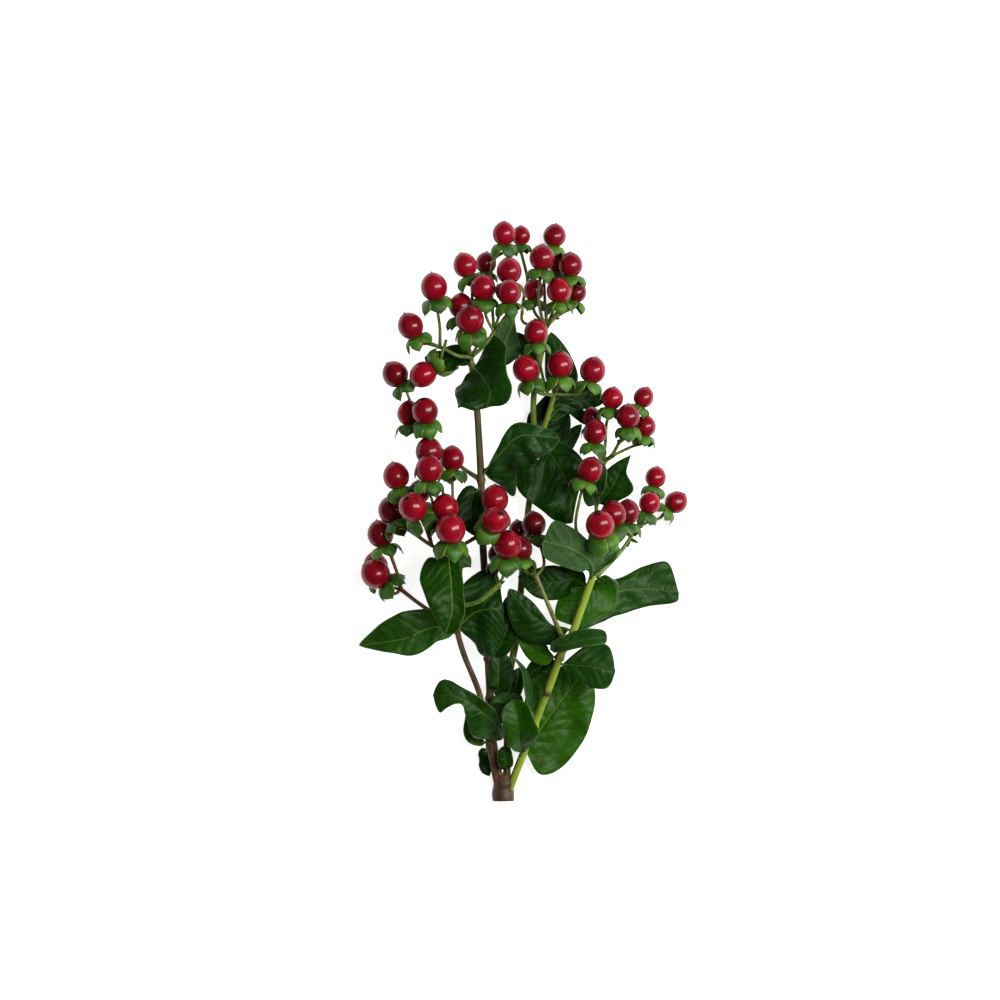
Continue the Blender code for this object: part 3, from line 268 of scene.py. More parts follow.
# Leaves: the shoot and the Y where each stands, or the point, way and radius of the stalk that carries it,
# its midrib's route, and its half widths seen from above, at even steps from base to tip. Left and right
# are as seen along the midrib. A half width that comes as a pair also holds how far its edge lies ahead
# along the midrib. A fold lifts that half towards the upper face, in degrees, a roll turns the blade about
# its midrib, a wave is its height and its count, and "under" says that the blade shows its underside.
leaves = {
    "leaf_top_curled": {
        "on": ("main", 69.3), "spine": [(-20.5, 63.5, 43), (-17, 56.5, 50), (-18.5, 48.5, 53)],
        "left": ((15.5, -8), (19, -6.5), (11.5, 1), (11, 2.5), 7),
        "right": ((6.5, -4.5), (13, -9), (16.5, -7), (17, 6), (8, 6)),
        "fold": (12, -10), "wave": (0.8, 1.4)},
    "leaf_top_left": {
        "on": ("main", 68.6), "spine": [(-32, 74, 30.5), (-41, 72.5, 28.5), (-49.5, 74, 26)],
        "left": (5, 6, 8, 4.5), "right": (5, 6.5, 5, 3.5), "fold": (10, 10), "wave": (0.8, 1.3)},
    "leaf_top_pale": {
        "on": ("main", 67.4), "spine": [(-16, 74, 28.5), (-9, 83, 25.5), (-4, 97, 24.5)],
        "left": (3, 5, 7, 5),
        "right": ((5.5, 5.5), (9.5, 7), (5, 2), 1), "fold": (8, 8), "under": True},
    "leaf_high_left": {
        "on": ("back", 70.0), "spine": [(4.5, 72.5, 18), (1, 78.5, 20), (-3.5, 86.5, 20)],
        "left": (2.5, 4, 4, 2.5), "right": (3, 4.5, 4.5, 2.5), "fold": (6, 6)},
    "leaf_high_back": {
        "on": ("lateral", 51.0), "spine": [(18, 60, 16), (18.5, 72, 9.5), (13.5, 87, 7)],
        "left": (2.5, 7.5, 8, 4.5), "right": (3, 8.5, 6, 3), "fold": (-10, -8)},
    "leaf_high_dark": {
        "on": ("back", 29.5), "spine": [(8.5, 37, 9), (12, 46, 8), (13, 56, 8)],
        "left": (6, 9, 8, 4), "right": (10.5, 13.5, 11.5, 5), "fold": (6, 6)},
    "leaf_high_pale": {
        "on": ("back", 25.0), "spine": [(16, 26, 6), (23, 33.5, 4), (29, 40.5, 4)],
        "left": (2.5, 4, 4, 2.5), "right": (2.5, 4.5, 4.5, 2.5), "fold": (6, 6), "under": True},
    "leaf_high_right": {
        "on": ("lateral", 41.5), "spine": [(21, 50.5, 13.5), (30, 52.5, 10.5), (41, 53, 9.5)],
        "left": (3, 5.5, 6.5, 4.5), "right": (3, 4.5, 4.5, 3.5), "fold": (-10, -10)},
    "leaf_high_thin": {
        "on": ("lateral", 46.5), "spine": [(18, 50.5, 18.5), (24.5, 48.5, 16.5), (30.5, 40.5, 12.5)],
        "left": (3, 4, 4, 2.5), "right": (2.5, 3.5, 3, 1.5), "fold": (12, 12)},
    "leaf_centre_rising": {
        "on": ("main", 14.0), "spine": [(-12, 25.5, 37.5), (-1.5, 34.5, 43.5), (17.5, 33.5, 44)],
        "left": (0.5, (3, 1), (6, 5), (5.5, 1), 3.5),
        "right": ((18.5, -8), (12.5, -3), 16, (9, 9), (3.5, 4)),
        "fold": (-14, -16), "wave": (0.8, 1.6)},
    "leaf_centre_hanging": {
        "on": ("main", 9.5), "spine": [(-25.5, 4.5, 31.8), (-26.5, -5, 32.4), (-24, -15.5, 31.6)],
        "left": (4.5, 7, 8, 5), "right": (5.5, 8, 7, 3.5), "fold": (4, 4)},
    "leaf_centre_broad": {
        "on": ("back", 24.0), "spine": [(12.5, 26, 24), (18, 18.5, 27), (23.2, 6.5, 29), (24, -9, 29.5)],
        "left": ((3, 4), 8.5, (12, 1.5), 7.5, 3, 1),
        "right": ((4, -1), (18, -8.5), (23.5, -1.5), (20, 3.5), (12, 8), (5.5, 4)),
        "fold": (-8, 2), "wave": (0.8, 1.7)},
    "leaf_right_pointed": {
        "on": ((36.6, 0.0, 19.6), (0, 1, 0), 1.0),
        "spine": [(40, 3.5, 23), (44.5, 9.5, 25), (48.5, 17.5, 26), (53.5, 25, 27.5)],
        "left": (3, 5, 7, 5, 2), "right": (4, 7.5, 10, 3.5, 1), "fold": (8, 8), "wave": (0.7, 1.6)},
    "leaf_right_narrow": {
        "on": ((36.6, -1.0, 19.8), (0, 1, 0), 1.0),
        "spine": [(34.8, 4, 26.5), (36, 11, 32.5), (39.5, 21, 34.5)],
        "left": (4, 5.5, 5.5, 3.5), "right": (3, 5, 5, 3.5), "fold": (10, 10)},
    "leaf_underside": {
        "on": ("bright", -38.0),
        "spine": [(34, -30.5, 42), (30, -25.5, 46.5), (21, -21, 50), (9.5, -18, 49)],
        "left": (2, (7, -1), (9.5, 1), (9.5, 3), (7, 2)),
        "right": ((8.5, 8), (16, -6.5), (7.5, -5), (10, -1), (11, 1)), "fold": (-6, -8),
        "wave": (0.8, 1.2), "under": True},
    "leaf_right_behind": {
        "on": ("bright", -37.0), "spine": [(33, -41.5, 26), (27, -50, 27), (19, -58.5, 27)],
        "left": ((8, -9), (12.5, -9), (15.5, -8), (11.5, -4.5), (8, -1.5)),
        "right": (4, (9, 1.5), (9.5, 5.5), (7, 6), (3.5, 3.5)), "fold": (-6, -6)},
    "leaf_centre_shade": {
        "on": ("bright", -41.5), "spine": [(25, -37, 28), (17, -38.5, 28), (7, -38.5, 28), (-3, -36, 27.5)],
        "left": (4, 7.5, 9, 8, 3.5), "right": (4, 7, 8.5, 7.5, 4), "fold": (4, 4)},
    "leaf_right_long": {
        "on": ("bright", -65.5), "spine": [(31, -57, 14), (44, -45, 10), (60.5, -42, 7), (78, -44, 5.5)],
        "left": (2, 6, 8, (6.5, 1.5), 11, (14, -1.5)),
        "right": (2, 5, (8.5, -3.5), (11.5, -1.5), 9.5, (5.5, 4.5)),
        "fold": (-5, -5), "wave": (0.8, 1.5)},
    "leaf_right_folded": {
        "on": ("bright", -73.0),
        "spine": [(15.5, -71, 37.5), (20, -69.5, 41.5), (31, -67, 44.5), (41.5, -65.5, 43)],
        "left": (2, 3.5, 5, 5.5, (3.5, 1.5)), "right": (2, 3.5, 3.5, 3.5, (3.5, 1.5)),
        "fold": (30, 34), "wave": (0.6, 1.5)},
    "leaf_right_lower": {
        "on": ("bright", -79.5), "spine": [(25, -80, 32.5), (35, -81, 35), (45.5, -83.5, 34)],
        "left": (2.5, 8, 12, (12.5, -1.5), (10.5, -2)), "right": (3, 7, 9.5, 10.5, (8.5, 1.5)),
        "fold": (-10, -12), "wave": (0.8, 1.4)},
    "leaf_low_biggest": {
        "on": ("bright", -130.5), "spine": [(7, -115, 10.5), (16.5, -101.5, 10.5), (32, -81.5, 11)],
        "left": (3, 10, 15.5, 20, 14, 8),
        "right": ((11.5, -10.5), (19.5, -10), (21, -1), (17.5, 3), (13, 3), 7),
        "fold": (4, -4), "wave": (0.8, 1.7)},
    "leaf_centre_dark": {
        "on": ("bright", -63.0), "spine": [(12, -60, 31), (2, -53, 34), (-7.5, -42, 34)],
        "left": (6.5, (10.5, -2), (12.5, -1.5), 9.5, 4.5),
        "right": (1, (1, -2.5), (3.5, -2.5), (5, -1.5), (3, -1)), "fold": (-8, -8)},
    "leaf_centre_light": {
        "on": ("bright", -76.5), "spine": [(10, -75.5, 27), (3, -71, 25), (-4, -63, 24)],
        "left": (4, 5.5, 4, 2), "right": (4, 6, 6, 3), "fold": (6, 6)},
    "leaf_centre_small": {
        "on": ("bright", -84.0), "spine": [(11, -80, 22), (6, -82.5, 20), (1, -87.5, 18)],
        "left": (3.5, 4.5, 4, 2.5), "right": (3.5, 5, 4.5, 2.5), "fold": (8, 8)},
    "leaf_left_front": {
        "on": ("dark", -28.5),
        "spine": [(-37.5, -27.5, 43.5), (-36, -42.5, 50.5), (-36, -53.5, 51.5), (-39, -64.5, 49.5)],
        "left": ((4.5, -4), 5.5, 6, 6, 6.5, 5),
        "right": ((7.5, -3), (13, -3), (15.5, -2.5), (13.5, -1), 10.5, 4.5),
        "fold": (9, 9), "wave": (0.5, 1.5)},
    "leaf_left_small": {
        "on": ("dark", -30.5), "spine": [(-33, -28.5, 34), (-29.5, -28.5, 34.5), (-26.5, -31, 33.5)],
        "left": (4, 6, 4.5, 1.5), "right": (5, 8, 5, 1.5), "fold": (-10, -10), "under": True},
    "leaf_left_long": {
        "on": ("dark", -64.5), "spine": [(-45, -61, 34), (-61, -67, 34), (-82.4, -70.3, 27.5)],
        "left": (6, (9, 1.5), 9.5, (6, -2), (3, -1.5)),
        "right": (6, (10.5, -1), (13, -1), (10, 1), 4.5),
        "fold": (10, 12), "wave": (1.0, 1.8)},
    "leaf_left_folded": {
        "on": ("dark", -61.5), "spine": [(-25, -54, 34.5), (-17.5, -52, 36.5), (-10.5, -52, 36)],
        "left": ((8.5, 6.5), (14.5, 6), (18, 1), 20, 16),
        "right": ((3.5, -5), (13, -9), (21.5, -7.5), (24, -1.5), (17, 3.5)),
        "fold": (-15, -14), "wave": (0.7, 1.3)},
    "leaf_centre_upright": {
        "on": ("main", -78.5), "spine": [(-12, -70, 25.5), (-8, -60, 27), (-8.5, -46, 26)],
        "left": (5, 6.5, 6, 3), "right": (5, 6.5, 4.5, 2.5), "fold": (6, 6)},
    "leaf_low_upright": {
        "on": ("main", -95.5), "spine": [(-13, -92, 20.5), (-12.5, -83.5, 21.5), (-12, -73.5, 20.5)],
        "left": (4, 5, 4.8, 3.5), "right": (5, 7, 7, 5), "fold": (6, 6)},
    "leaf_low_waved": {
        "on": ("back", -117.5),
        "spine": [(-11.5, -113.5, 20), (-18, -106, 30), (-28, -98, 35.5), (-37, -95, 36), (-45.5, -95, 34)],
        "left": (1.5, (7, -1.5), (12.5, -1), (6.5, 2.5), 3, (9, 1.5)),
        "right": (1.2, 2.5, 4.7, 5, 5, 7.5),
        "fold": (6, 6), "wave": (1.2, 1.7)},
    "leaf_low_left": {
        "on": ("dark", -119.5), "spine": [(-22.5, -119, 13.5), (-27.5, -114, 15), (-29, -105.5, 14.5)],
        "left": (2, 3.5, 2.5, 1), "right": (4, 5, 5, 4.5), "fold": (8, 8)},
    "leaf_low_cupped": {
        "on": ("bright", -127.0), "spine": [(-2, -119, 25), (-3, -108, 31), (-5.5, -97.5, 30)],
        "left": (1.5, 4.5, 7, 8, 6), "right": (2.5, 6.5, 10, 8, 6), "fold": (30, 22), "wave": (0.6, 1.2)},
    "leaf_low_edge": {
        "on": ("bright", -108.5), "spine": [(3, -101, 26), (1.5, -88, 28.5), (-5.5, -75, 27)],
        "left": (3.4, 4, 4, 3), "right": (3.4, 4, 4, 3), "fold": (10, 10), "roll": (60, 70)},
    "leaf_low_shade": {
        "on": ("main", -108.5), "spine": [(-11.5, -105, 17), (-9, -100.5, 21.5), (-9.5, -93.8, 22.5)],
        "left": (4.5, 7.5, 8, 7), "right": (4, 7.5, 8.5, 7.5), "fold": (6, 6)},
    "leaf_base_left": {
        "on": ("dark", -123.0), "spine": [(-20.5, -124.5, 7), (-18.5, -129, 3.5), (-17.5, -136.5, 2.8)],
        "left": (2, 4, 5, 1.5), "right": (1.5, 3, 4.5, 3.5), "fold": (4, 4)},
    "leaf_base_thin": {
        "on": ("back", -134.5), "spine": [(-9, -130.5, 13.5), (-9.5, -126, 15.5), (-9.5, -120.8, 15.5)],
        "left": (2, 3.6, 4, 3), "right": (2, 3.6, 4, 3), "fold": (10, 10)},
    "leaf_low_back": {
        "on": ("back", -98.0), "spine": [(-4.5, -93.5, 14.5), (-3, -87.5, 15.5), (-2, -81.5, 15)],
        "left": (2, 5.5, 6, 3), "right": (3, 3.5, 3.5, 2), "fold": (6, 6)},
}


# Points and routes.

def curve(p0, p1, p2, p3, t):
    # the share t of the way from p1 to p2 on a Catmull-Rom curve, for points or plain numbers
    return 0.5 * (2 * p1 + (p2 - p0) * t + (2 * p0 - 5 * p1 + 4 * p2 - p3) * t ** 2
                  + (3 * p1 - p0 - 3 * p2 + p3) * t ** 3)


def smoothPath(points, steps):
    # the curve through the points
    points = [Vector(point) for point in points]
    if len(points) == 2:
        return [points[0].lerp(points[1], step / steps) for step in range(steps + 1)]
    before = [points[0] * 2 - points[1]] + points
    after = points + [points[-1] * 2 - points[-2]]
    route = [points[0]]
    for index in range(len(points) - 1):
        four = before[index], points[index], points[index + 1], after[index + 2]
        route += [curve(*four, step / steps) for step in range(1, steps + 1)]
    return route


def through(values, before, after, t):
    # the same curve for plain numbers, with the values that stand before the first and after the last
    values = np.array([before] + list(values) + [after], float)
    index = np.clip(np.floor(t).astype(int), 0, len(values) - 4)
    return curve(*(values[index + k] for k in range(4)), t - index)


def shootPoint(name, y):
    # axis point, direction and radius of a shoot at a height Y
    path = [Vector(point) for point in shoots[name]["path"]]
    last = len(path) - 1
    y = min(max(y, path[0].y), path[last].y)
    index = max(i for i in range(last) if path[i].y <= y)
    low, high = path[index], path[index + 1]
    span = high.y - low.y
    slopes = []
    for i in (index, index + 1):
        ahead, behind = path[min(i + 1, last)], path[max(i - 1, 0)]
        slopes.append((ahead - behind) / (ahead.y - behind.y))
    t = (y - low.y) / span
    point = (low * (2 * t ** 3 - 3 * t ** 2 + 1) + slopes[0] * span * (t ** 3 - 2 * t ** 2 + t)
             + high * (3 * t ** 2 - 2 * t ** 3) + slopes[1] * span * (t ** 3 - t ** 2))
    along = slopes[0].lerp(slopes[1], t).normalized()
    foot, tip = shoots[name]["radius"]
    radius = foot + (tip - foot) * (y - path[0].y) / (path[last].y - path[0].y)
    nearest = min([abs(y - node) for node in shoots[name]["nodes"]] + [nodeReach])
    radius *= 1 + (nodeSwell - 1) * (0.5 + 0.5 * math.cos(math.pi * nearest / nodeReach))
    return point, along, radius


def leavingPoint(on, towards, ownRadius):
    # where a stalk or a blade starts, and the way from its shoot to there
    if isinstance(on[0], str) and on[1] == "top":
        tip, along, _ = shootPoint(on[0], shoots[on[0]]["path"][-1][1])
        return tip + along * touchGap, along
    if isinstance(on[0], str):
        point, along, radius = shootPoint(*on)
    else:
        point, along, radius = Vector(on[0]), Vector(on[1]).normalized(), on[2]
    way = (Vector(towards) - point).normalized()
    lean = abs(way.dot(along))
    across = math.sqrt(1 - lean ** 2)
    return point + way * (radius + touchGap + ownRadius * lean) / across, way


def unevenness(a, b, seed, size):
    # a soft unevenness from a few sines that run in different ways, from about -1 to 1
    draw = random.Random(seed)
    total = 0
    for octave in range(5):
        turn = draw.uniform(0, math.tau)
        reach = size * draw.uniform(0.7, 1.3)
        total = total + np.sin((a * math.cos(turn) + b * math.sin(turn)) * math.tau / reach
                               + draw.uniform(0, math.tau))
    return total / 3


# Meshes.

class Shape:
    # points and faces gathered for one mesh, with the marks that its materials read at each point
    def __init__(self):
        self.points, self.faces, self.finishes, self.marks, self.count = [], [], [], {}, 0

    def grid(self, points, finish, closed=False, flip=False, **marks):
        rows, columns = points.shape[:2]
        index = self.count + np.arange(rows * columns).reshape(rows, columns)
        self.points.append(points.reshape(-1, 3))
        self.count += rows * columns
        for mark, value in marks.items():
            value = np.stack(np.broadcast_arrays(*value, points[..., 0])[:3], -1)
            self.marks.setdefault(mark, []).append(value.reshape(-1, 3))
        ahead = np.roll(index, -1, 1)
        stop = columns if closed else columns - 1
        a, b = index[:-1, :stop], ahead[:-1, :stop]
        c, d = ahead[1:, :stop], index[1:, :stop]
        faces = np.stack((a, d, c, b) if flip else (a, b, c, d), -1).reshape(-1, 4)
        self.faces += faces.tolist()
        self.finishes += [finish] * len(faces)
        return index

    def sheet(self, middle, over, under, finishes, **marks):
        # a thin closed sheet: its middle surface, and how far its two sides stand off it
        alongStep = np.gradient(middle, axis=0)
        acrossStep = np.gradient(middle, axis=1)
        normal = np.cross(acrossStep, alongStep)
        for end, near in ((0, 1), (-1, -2)):
            if np.linalg.norm(acrossStep[end], axis=-1).max() < 1e-6:
                normal[end] = normal[near].mean(0)
        normal /= np.linalg.norm(normal, axis=-1, keepdims=True) + 1e-12
        top = self.grid(middle + normal * over[..., None], finishes[0], **marks)
        bottom = self.grid(middle - normal * under[..., None], finishes[1], flip=True, **marks)
        near, far = (np.concatenate([side[0, :-1], side[:-1, -1], side[-1, :0:-1], side[:0:-1, 0]])
                     for side in (top, bottom))
        rim = np.stack((near, far, np.roll(far, -1), np.roll(near, -1)), -1)
        self.faces += rim.tolist()
        self.finishes += [finishes[0]] * len(rim)

    def tube(self, route, radii, sides, finish, facing=None, lumps=None, **marks):
        # rings round a route, drawn to a point at both ends
        route = [Vector(point) for point in route]
        ways = [(route[min(i + 1, len(route) - 1)] - route[max(i - 1, 0)]).normalized()
                for i in range(len(route))]
        side = Vector(facing or (0.31, 0.17, 0.93))   # a slanting start keeps clear of every route
        rings = []
        turns = np.arange(sides) * math.tau / sides
        for index, (point, way, radius) in enumerate(zip(route, ways, radii)):
            side = Vector(facing) if facing else side
            side = (side - way * side.dot(way)).normalized()
            other = np.array(way.cross(side))
            swell = radius * (1 + (lumps[index] if lumps is not None else 0))
            ring = np.outer(np.cos(turns), np.array(side)) + np.outer(np.sin(turns), other)
            rings.append(np.array(point) + ring * np.reshape(swell, (-1, 1)))
        first, last = (np.repeat(np.array([point]), sides, 0) for point in (route[0], route[-1]))
        for mark, value in marks.items():
            value = [np.broadcast_to(np.asarray(part, float), (len(route), sides)) for part in value]
            marks[mark] = [np.concatenate((part[:1], part, part[-1:])) for part in value]
        self.grid(np.array([first] + rings + [last]), finish, closed=True, **marks)

    def piece(self, name, node, slotName, materials):
        # the finished object, in the frame's place, riding on the one body
        points = (np.concatenate(self.points) - np.array((*boxMiddle, 0))) * mm
        points = np.clip(points, *cadBox)   # what lies on the surface is pressed flat there
        mesh = bpy.data.meshes.new(name)
        mesh.from_pydata(points.tolist(), [], self.faces)
        for mark, values in self.marks.items():
            layer = mesh.attributes.new(mark, "FLOAT_VECTOR", "POINT")
            layer.data.foreach_set("vector", np.concatenate(values).astype(np.float32).ravel())
        mesh.polygons.foreach_set("material_index", self.finishes)
        for material in materials:
            mesh.materials.append(material)
        body = bmesh.new()
        body.from_mesh(mesh)
        bmesh.ops.remove_doubles(body, verts=body.verts, dist=1e-7)
        body.to_mesh(mesh)
        body.free()
        mesh.shade_smooth()
        thing = bpy.data.objects.new(name, mesh)
        bpy.context.scene.collection.objects.link(thing)
        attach(thing, "root")
        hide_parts(node)


# Materials.

class Wire:
    # an output in a material: sums on values make Math nodes, sums on vectors Vector Math nodes
    def __init__(self, tree, socket=None):
        self.tree, self.socket = tree, socket

    def add(self, kind, settings, inputs, output=0):
        # a node of this type: its settings first, then what feeds its sockets
        node = self.tree.nodes.new("ShaderNode" + kind)
        for setting, value in settings.items():
            setattr(node, setting, value)
        for key, value in inputs.items():
            if isinstance(value, Wire):
                self.tree.links.new(value.socket, node.inputs[key])
            else:
                node.inputs[key].default_value = value
        return Wire(self.tree, node.outputs[output]) if node.outputs else None

    def sum(self, operation, other=None, swapped=False):
        pair = (other, self) if swapped else (self, other)
        kinds = [item.socket.type for item in pair if isinstance(item, Wire)]
        vector = any(kind in ("VECTOR", "RGBA") for kind in kinds)
        if vector:
            pair = [(item,) * 3 if isinstance(item, (int, float)) else item for item in pair]
        inputs = {index: item for index, item in enumerate(pair) if item is not None}
        return self.add("VectorMath" if vector else "Math", {"operation": operation}, inputs)

    def __add__(self, other): return self.sum("ADD", other)
    def __radd__(self, other): return self.sum("ADD", other, True)
    def __sub__(self, other): return self.sum("SUBTRACT", other)
    def __rsub__(self, other): return self.sum("SUBTRACT", other, True)
    def __mul__(self, other): return self.sum("MULTIPLY", other)
    def __rmul__(self, other): return self.sum("MULTIPLY", other, True)
    def __mod__(self, other): return self.sum("FLOORED_MODULO", other)
    def __rmod__(self, other): return self.sum("FLOORED_MODULO", other, True)
    def __abs__(self): return self.sum("ABSOLUTE")

    def between(self, low, high, start=0.0, end=1.0):
        # a soft step from start to end as the value goes from low to high
        return self.add("MapRange", {"interpolation_type": "SMOOTHSTEP"},
                        {"Value": self, "From Min": low, "From Max": high, "To Min": start, "To Max": end})

    def stripes(self, full, gone):
        # 1 on thin lines at each whole number and 0 between them
        return abs((self + 0.5) % 1 - 0.5).between(full, gone, 1, 0)

    def mix(self, first, second):
        # this value blends two colours
        first, second = ((*colour, 1) if isinstance(colour, tuple) else colour for colour in (first, second))
        return self.add("Mix", {"data_type": "RGBA", "clamp_factor": True}, {0: self, 6: first, 7: second}, 2)

    def parts(self):
        node = self.add("SeparateXYZ", {}, {0: self}).socket.node
        return [Wire(self.tree, output) for output in node.outputs]

    def noise(self, scale, detail=3, rough=0.5, stretch=None):
        # noise from 0 to 1 at this place, in cells of 1 / scale
        place = self * stretch if stretch else self
        inputs = {"Vector": place, "Scale": scale, "Detail": detail, "Roughness": rough}
        return self.add("TexNoise", {}, inputs)

    def cells(self, scale, feature="DISTANCE_TO_EDGE"):
        # the distance to the edge, or to the middle, of uneven cells of 1 / scale
        inputs = {"Vector": self, "Scale": scale, "Randomness": 1.0}
        return self.add("TexVoronoi", {"feature": feature}, inputs)


def startMaterial(name):
    material = bpy.data.materials.new(name)
    material.use_nodes = True
    material.node_tree.nodes.clear()
    return material, Wire(material.node_tree)


def endMaterial(material, start, surface, height=None, bump=(0.5, 0.0003), **finish):
    # the shader: what changes over the surface comes in surface, plain numbers in finish
    inputs = dict(surface)
    if height is not None:
        inputs["Normal"] = start.add("Bump", {}, dict(Height=height, Strength=bump[0], Distance=bump[1]))
    inputs.update({key.replace("_", " "): value for key, value in finish.items()})
    shader = start.add("BsdfPrincipled", {}, inputs)
    start.add("OutputMaterial", {}, {"Surface": shader})
    material.diffuse_color = (0.1, 0.1, 0.1, 1)
    return material


def mark(start, name):
    # the three numbers that a mesh carries at each point under this name
    return start.add("Attribute", {"attribute_name": name}, {}, 1)


def placeOn(start):
    # the place on the stem, in metres
    return start.add("TexCoord", {}, {}, 3)


# The stem.

stemLooks = {
    "sides": 20,
    "step": 1.2,                       # between rings
    "ridge": 0.035,                    # two faint lengthwise ridges
    "lumps": 0.03, "lumpSize": 14,
    "scar": 0.12,                      # the line that a leaf pair leaves round a node
    "lit": math.pi * 1.15,             # the way round that faces left and up
    # cells of the bark's markings for each metre
    "grain": 900, "patches": 110, "pores": 1500, "fineGrain": 2600,
    "roughness": 0.42, "specular": 0.3,
    # woodiness at the foot and at the top, how much greener the lit side is, how bright the green is
    "main": (1.0, 0.66, 0.38, 0.15),
    "back": (0.62, 0.34, 0.15, 0.45),
    "lateral": (0.25, 0.2, 0.1, 0.5),
    "bright": (0.25, 0.05, 0.1, 0.8),
    "dark": (1.0, 0.85, 0.5, 0.3),
    "seam": 0.45,
    "slim": {"bright": 0.88, "dark": 0.94, "main": 0.94},   # shares of the solids' radii
    # single places: Y, how far they reach, how much browner and how much duller
    "places": {"bright": [(-94.5, 1.8, 0.6, 0.3), (-76, 5, 0.15, 0.45)], "back": [(-134, 2.5, 0.5, 0.2)]},
}

baseLooks = {
    "route": [(-10.4, -149, 5.4), (-10.4, -146, 5.4), (-10.4, -142, 5.4), (-10.2, -139, 6.3),
              (-10, -135.6, 7)],
    "radii": [5.35, 5.4, 5.3, 5.0, 3.2],
    "sides": 40, "lumps": 0.05, "lumpSize": 11,
    "cutRadius": 5.1, "cutRings": 12, "cutLift": 0.02,
    "rings": 0.9,                      # growth rings for each millimetre of the cut
}

woodColours = {
    "olive": (0.085, 0.115, 0.018),
    "fresh": (0.27, 0.36, 0.035),
    "brown": (0.105, 0.060, 0.028),
    "plum": (0.046, 0.024, 0.014),
    "pore": (0.2, 0.13, 0.07),
    "cutWood": (0.52, 0.40, 0.22),
    "cutRing": (0.36, 0.25, 0.12),
    "pith": (0.30, 0.19, 0.09),
}


def makeBark():
    # shootMark holds woodiness, brightness of the green and the millimetres along the shoot
    material, start = startMaterial("bark")
    looks = stemLooks
    woody, bright = mark(start, "shootMark").parts()[:2]
    place = placeOn(start)
    grain = place.noise(looks["grain"], 4, 0.6, (1, 0.12, 1))
    patches = place.noise(looks["patches"], 3, 0.6)
    green = bright.mix(woodColours["olive"], woodColours["fresh"])
    green = patches.between(0.3, 0.75).mix(green * 0.75, green)
    brown = patches.between(0.35, 0.7).mix(woodColours["plum"], woodColours["brown"])
    share = (woody + (grain - 0.5) * 0.5 + (patches - 0.5) * 0.35).between(0.3, 0.7)
    colour = share.mix(green, brown)
    pores = place.cells(looks["pores"], "F1").between(0.12, 0.3, 1, 0) * patches.between(0.45, 0.6)
    colour = (pores * 0.6).mix(colour, woodColours["pore"])
    height = grain * 0.7 + place.noise(looks["fineGrain"], 2) * 0.3
    return endMaterial(material, start, {"Base Color": colour, "Roughness": grain * 0.2 + looks["roughness"]},
                       height, (0.6, 0.0003), Specular_IOR_Level=looks["specular"])


def makeCutWood():
    # shootMark's third number is here the distance from the middle of the cut
    material, start = startMaterial("cutWood")
    fromMiddle = mark(start, "shootMark").parts()[2]
    place = placeOn(start)
    unrest = place.noise(700, 3)
    rings = abs((fromMiddle * baseLooks["rings"] + unrest * 0.5) % 1 - 0.5) * 2
    colour = rings.between(0.55, 1.0).mix(woodColours["cutWood"], woodColours["cutRing"])
    colour = fromMiddle.between(0.7, 1.1, 1, 0).mix(colour, woodColours["pith"])
    colour = fromMiddle.between(4.5, 5.1).mix(colour, woodColours["brown"])
    return endMaterial(material, start, {"Base Color": colour, "Roughness": unrest * 0.2 + 0.6},
                       rings * 0.4 + place.noise(3000, 2), (0.5, 0.0002))


def near(heights, y, reach):
    # 1 at the height y, fading to 0 over the reach, as a column
    return np.exp(-((heights - y) / reach) ** 2)[:, None]


def makeStem(materials):
    shape, looks = Shape(), stemLooks
    sides = looks["sides"]
    turns = np.arange(sides) * math.tau / sides
    for name, shoot in shoots.items():
        foot, tip, stripe, bright = looks[name]
        first, last = shoot["path"][0][1], shoot["path"][-1][1]
        heights = np.linspace(first, last, round((last - first) / looks["step"]))
        stations = [shootPoint(name, y) for y in heights]
        share = (heights - first) / (last - first)
        lumps = looks["lumps"] * unevenness(heights[:, None], 3 * turns[None], name, looks["lumpSize"])
        lumps = lumps + looks["ridge"] * np.cos(2 * turns)[None]
        # the lit side is greener, and the nodes are browner
        green = np.clip(np.cos(turns - looks["lit"]), 0, 1)[None]
        woody = (foot + (tip - foot) * share)[:, None] - stripe * green
        for node in shoot["nodes"]:
            lumps = lumps + looks["scar"] * near(heights, node - 0.4, 0.55)
            woody = woody + 0.25 * near(heights, node, 1.6)
        # a brown seam down its left edge, and single places that are browner or duller
        woody = woody + looks["seam"] * np.clip(-np.cos(turns) * 2.2 - 1.1, 0, 1)[None]
        shine = bright + 0 * woody
        for y, reach, browner, duller in looks["places"].get(name, []):
            woody = woody + browner * near(heights, y, reach)
            shine = shine - duller * near(heights, y, reach)
        radii = [radius * looks["slim"].get(name, 1.0) for _, _, radius in stations]
        shape.tube([point for point, _, _ in stations], radii, sides, 0, (1, 0, 0), lumps,
                   shootMark=(woody, shine, heights[:, None]))
    looks = baseLooks
    route, radii, sides = smoothPath(looks["route"], 6), looks["radii"], looks["sides"]
    radii = through(radii, radii[0], 2.0, np.linspace(0, len(radii) - 1, len(route)))
    turns = np.arange(sides) * math.tau / sides
    reach = np.array([point.y for point in route])
    lumps = looks["lumps"] * unevenness(reach[:, None], 5 * turns[None], "base", looks["lumpSize"])
    shape.tube(route, radii, sides, 0, (1, 0, 0), lumps, shootMark=(1.1, 0.2, 0))
    # the clean cut: a disc with a hair's depth in front of the base's end
    x, y, z = looks["route"][0]
    rings = np.linspace(0, looks["cutRadius"], looks["cutRings"])
    y = y - looks["cutLift"]
    disc = np.array([[(x + r * math.cos(turn), y + 0.01 * r, z + r * math.sin(turn)) for turn in turns]
                     for r in rings])
    shape.grid(disc, 1, closed=True, shootMark=(1, 0, rings[:, None]))
    shape.piece("stem_shoots", "stem", "bark", materials)


# Heads: berries, calyces and stalks.

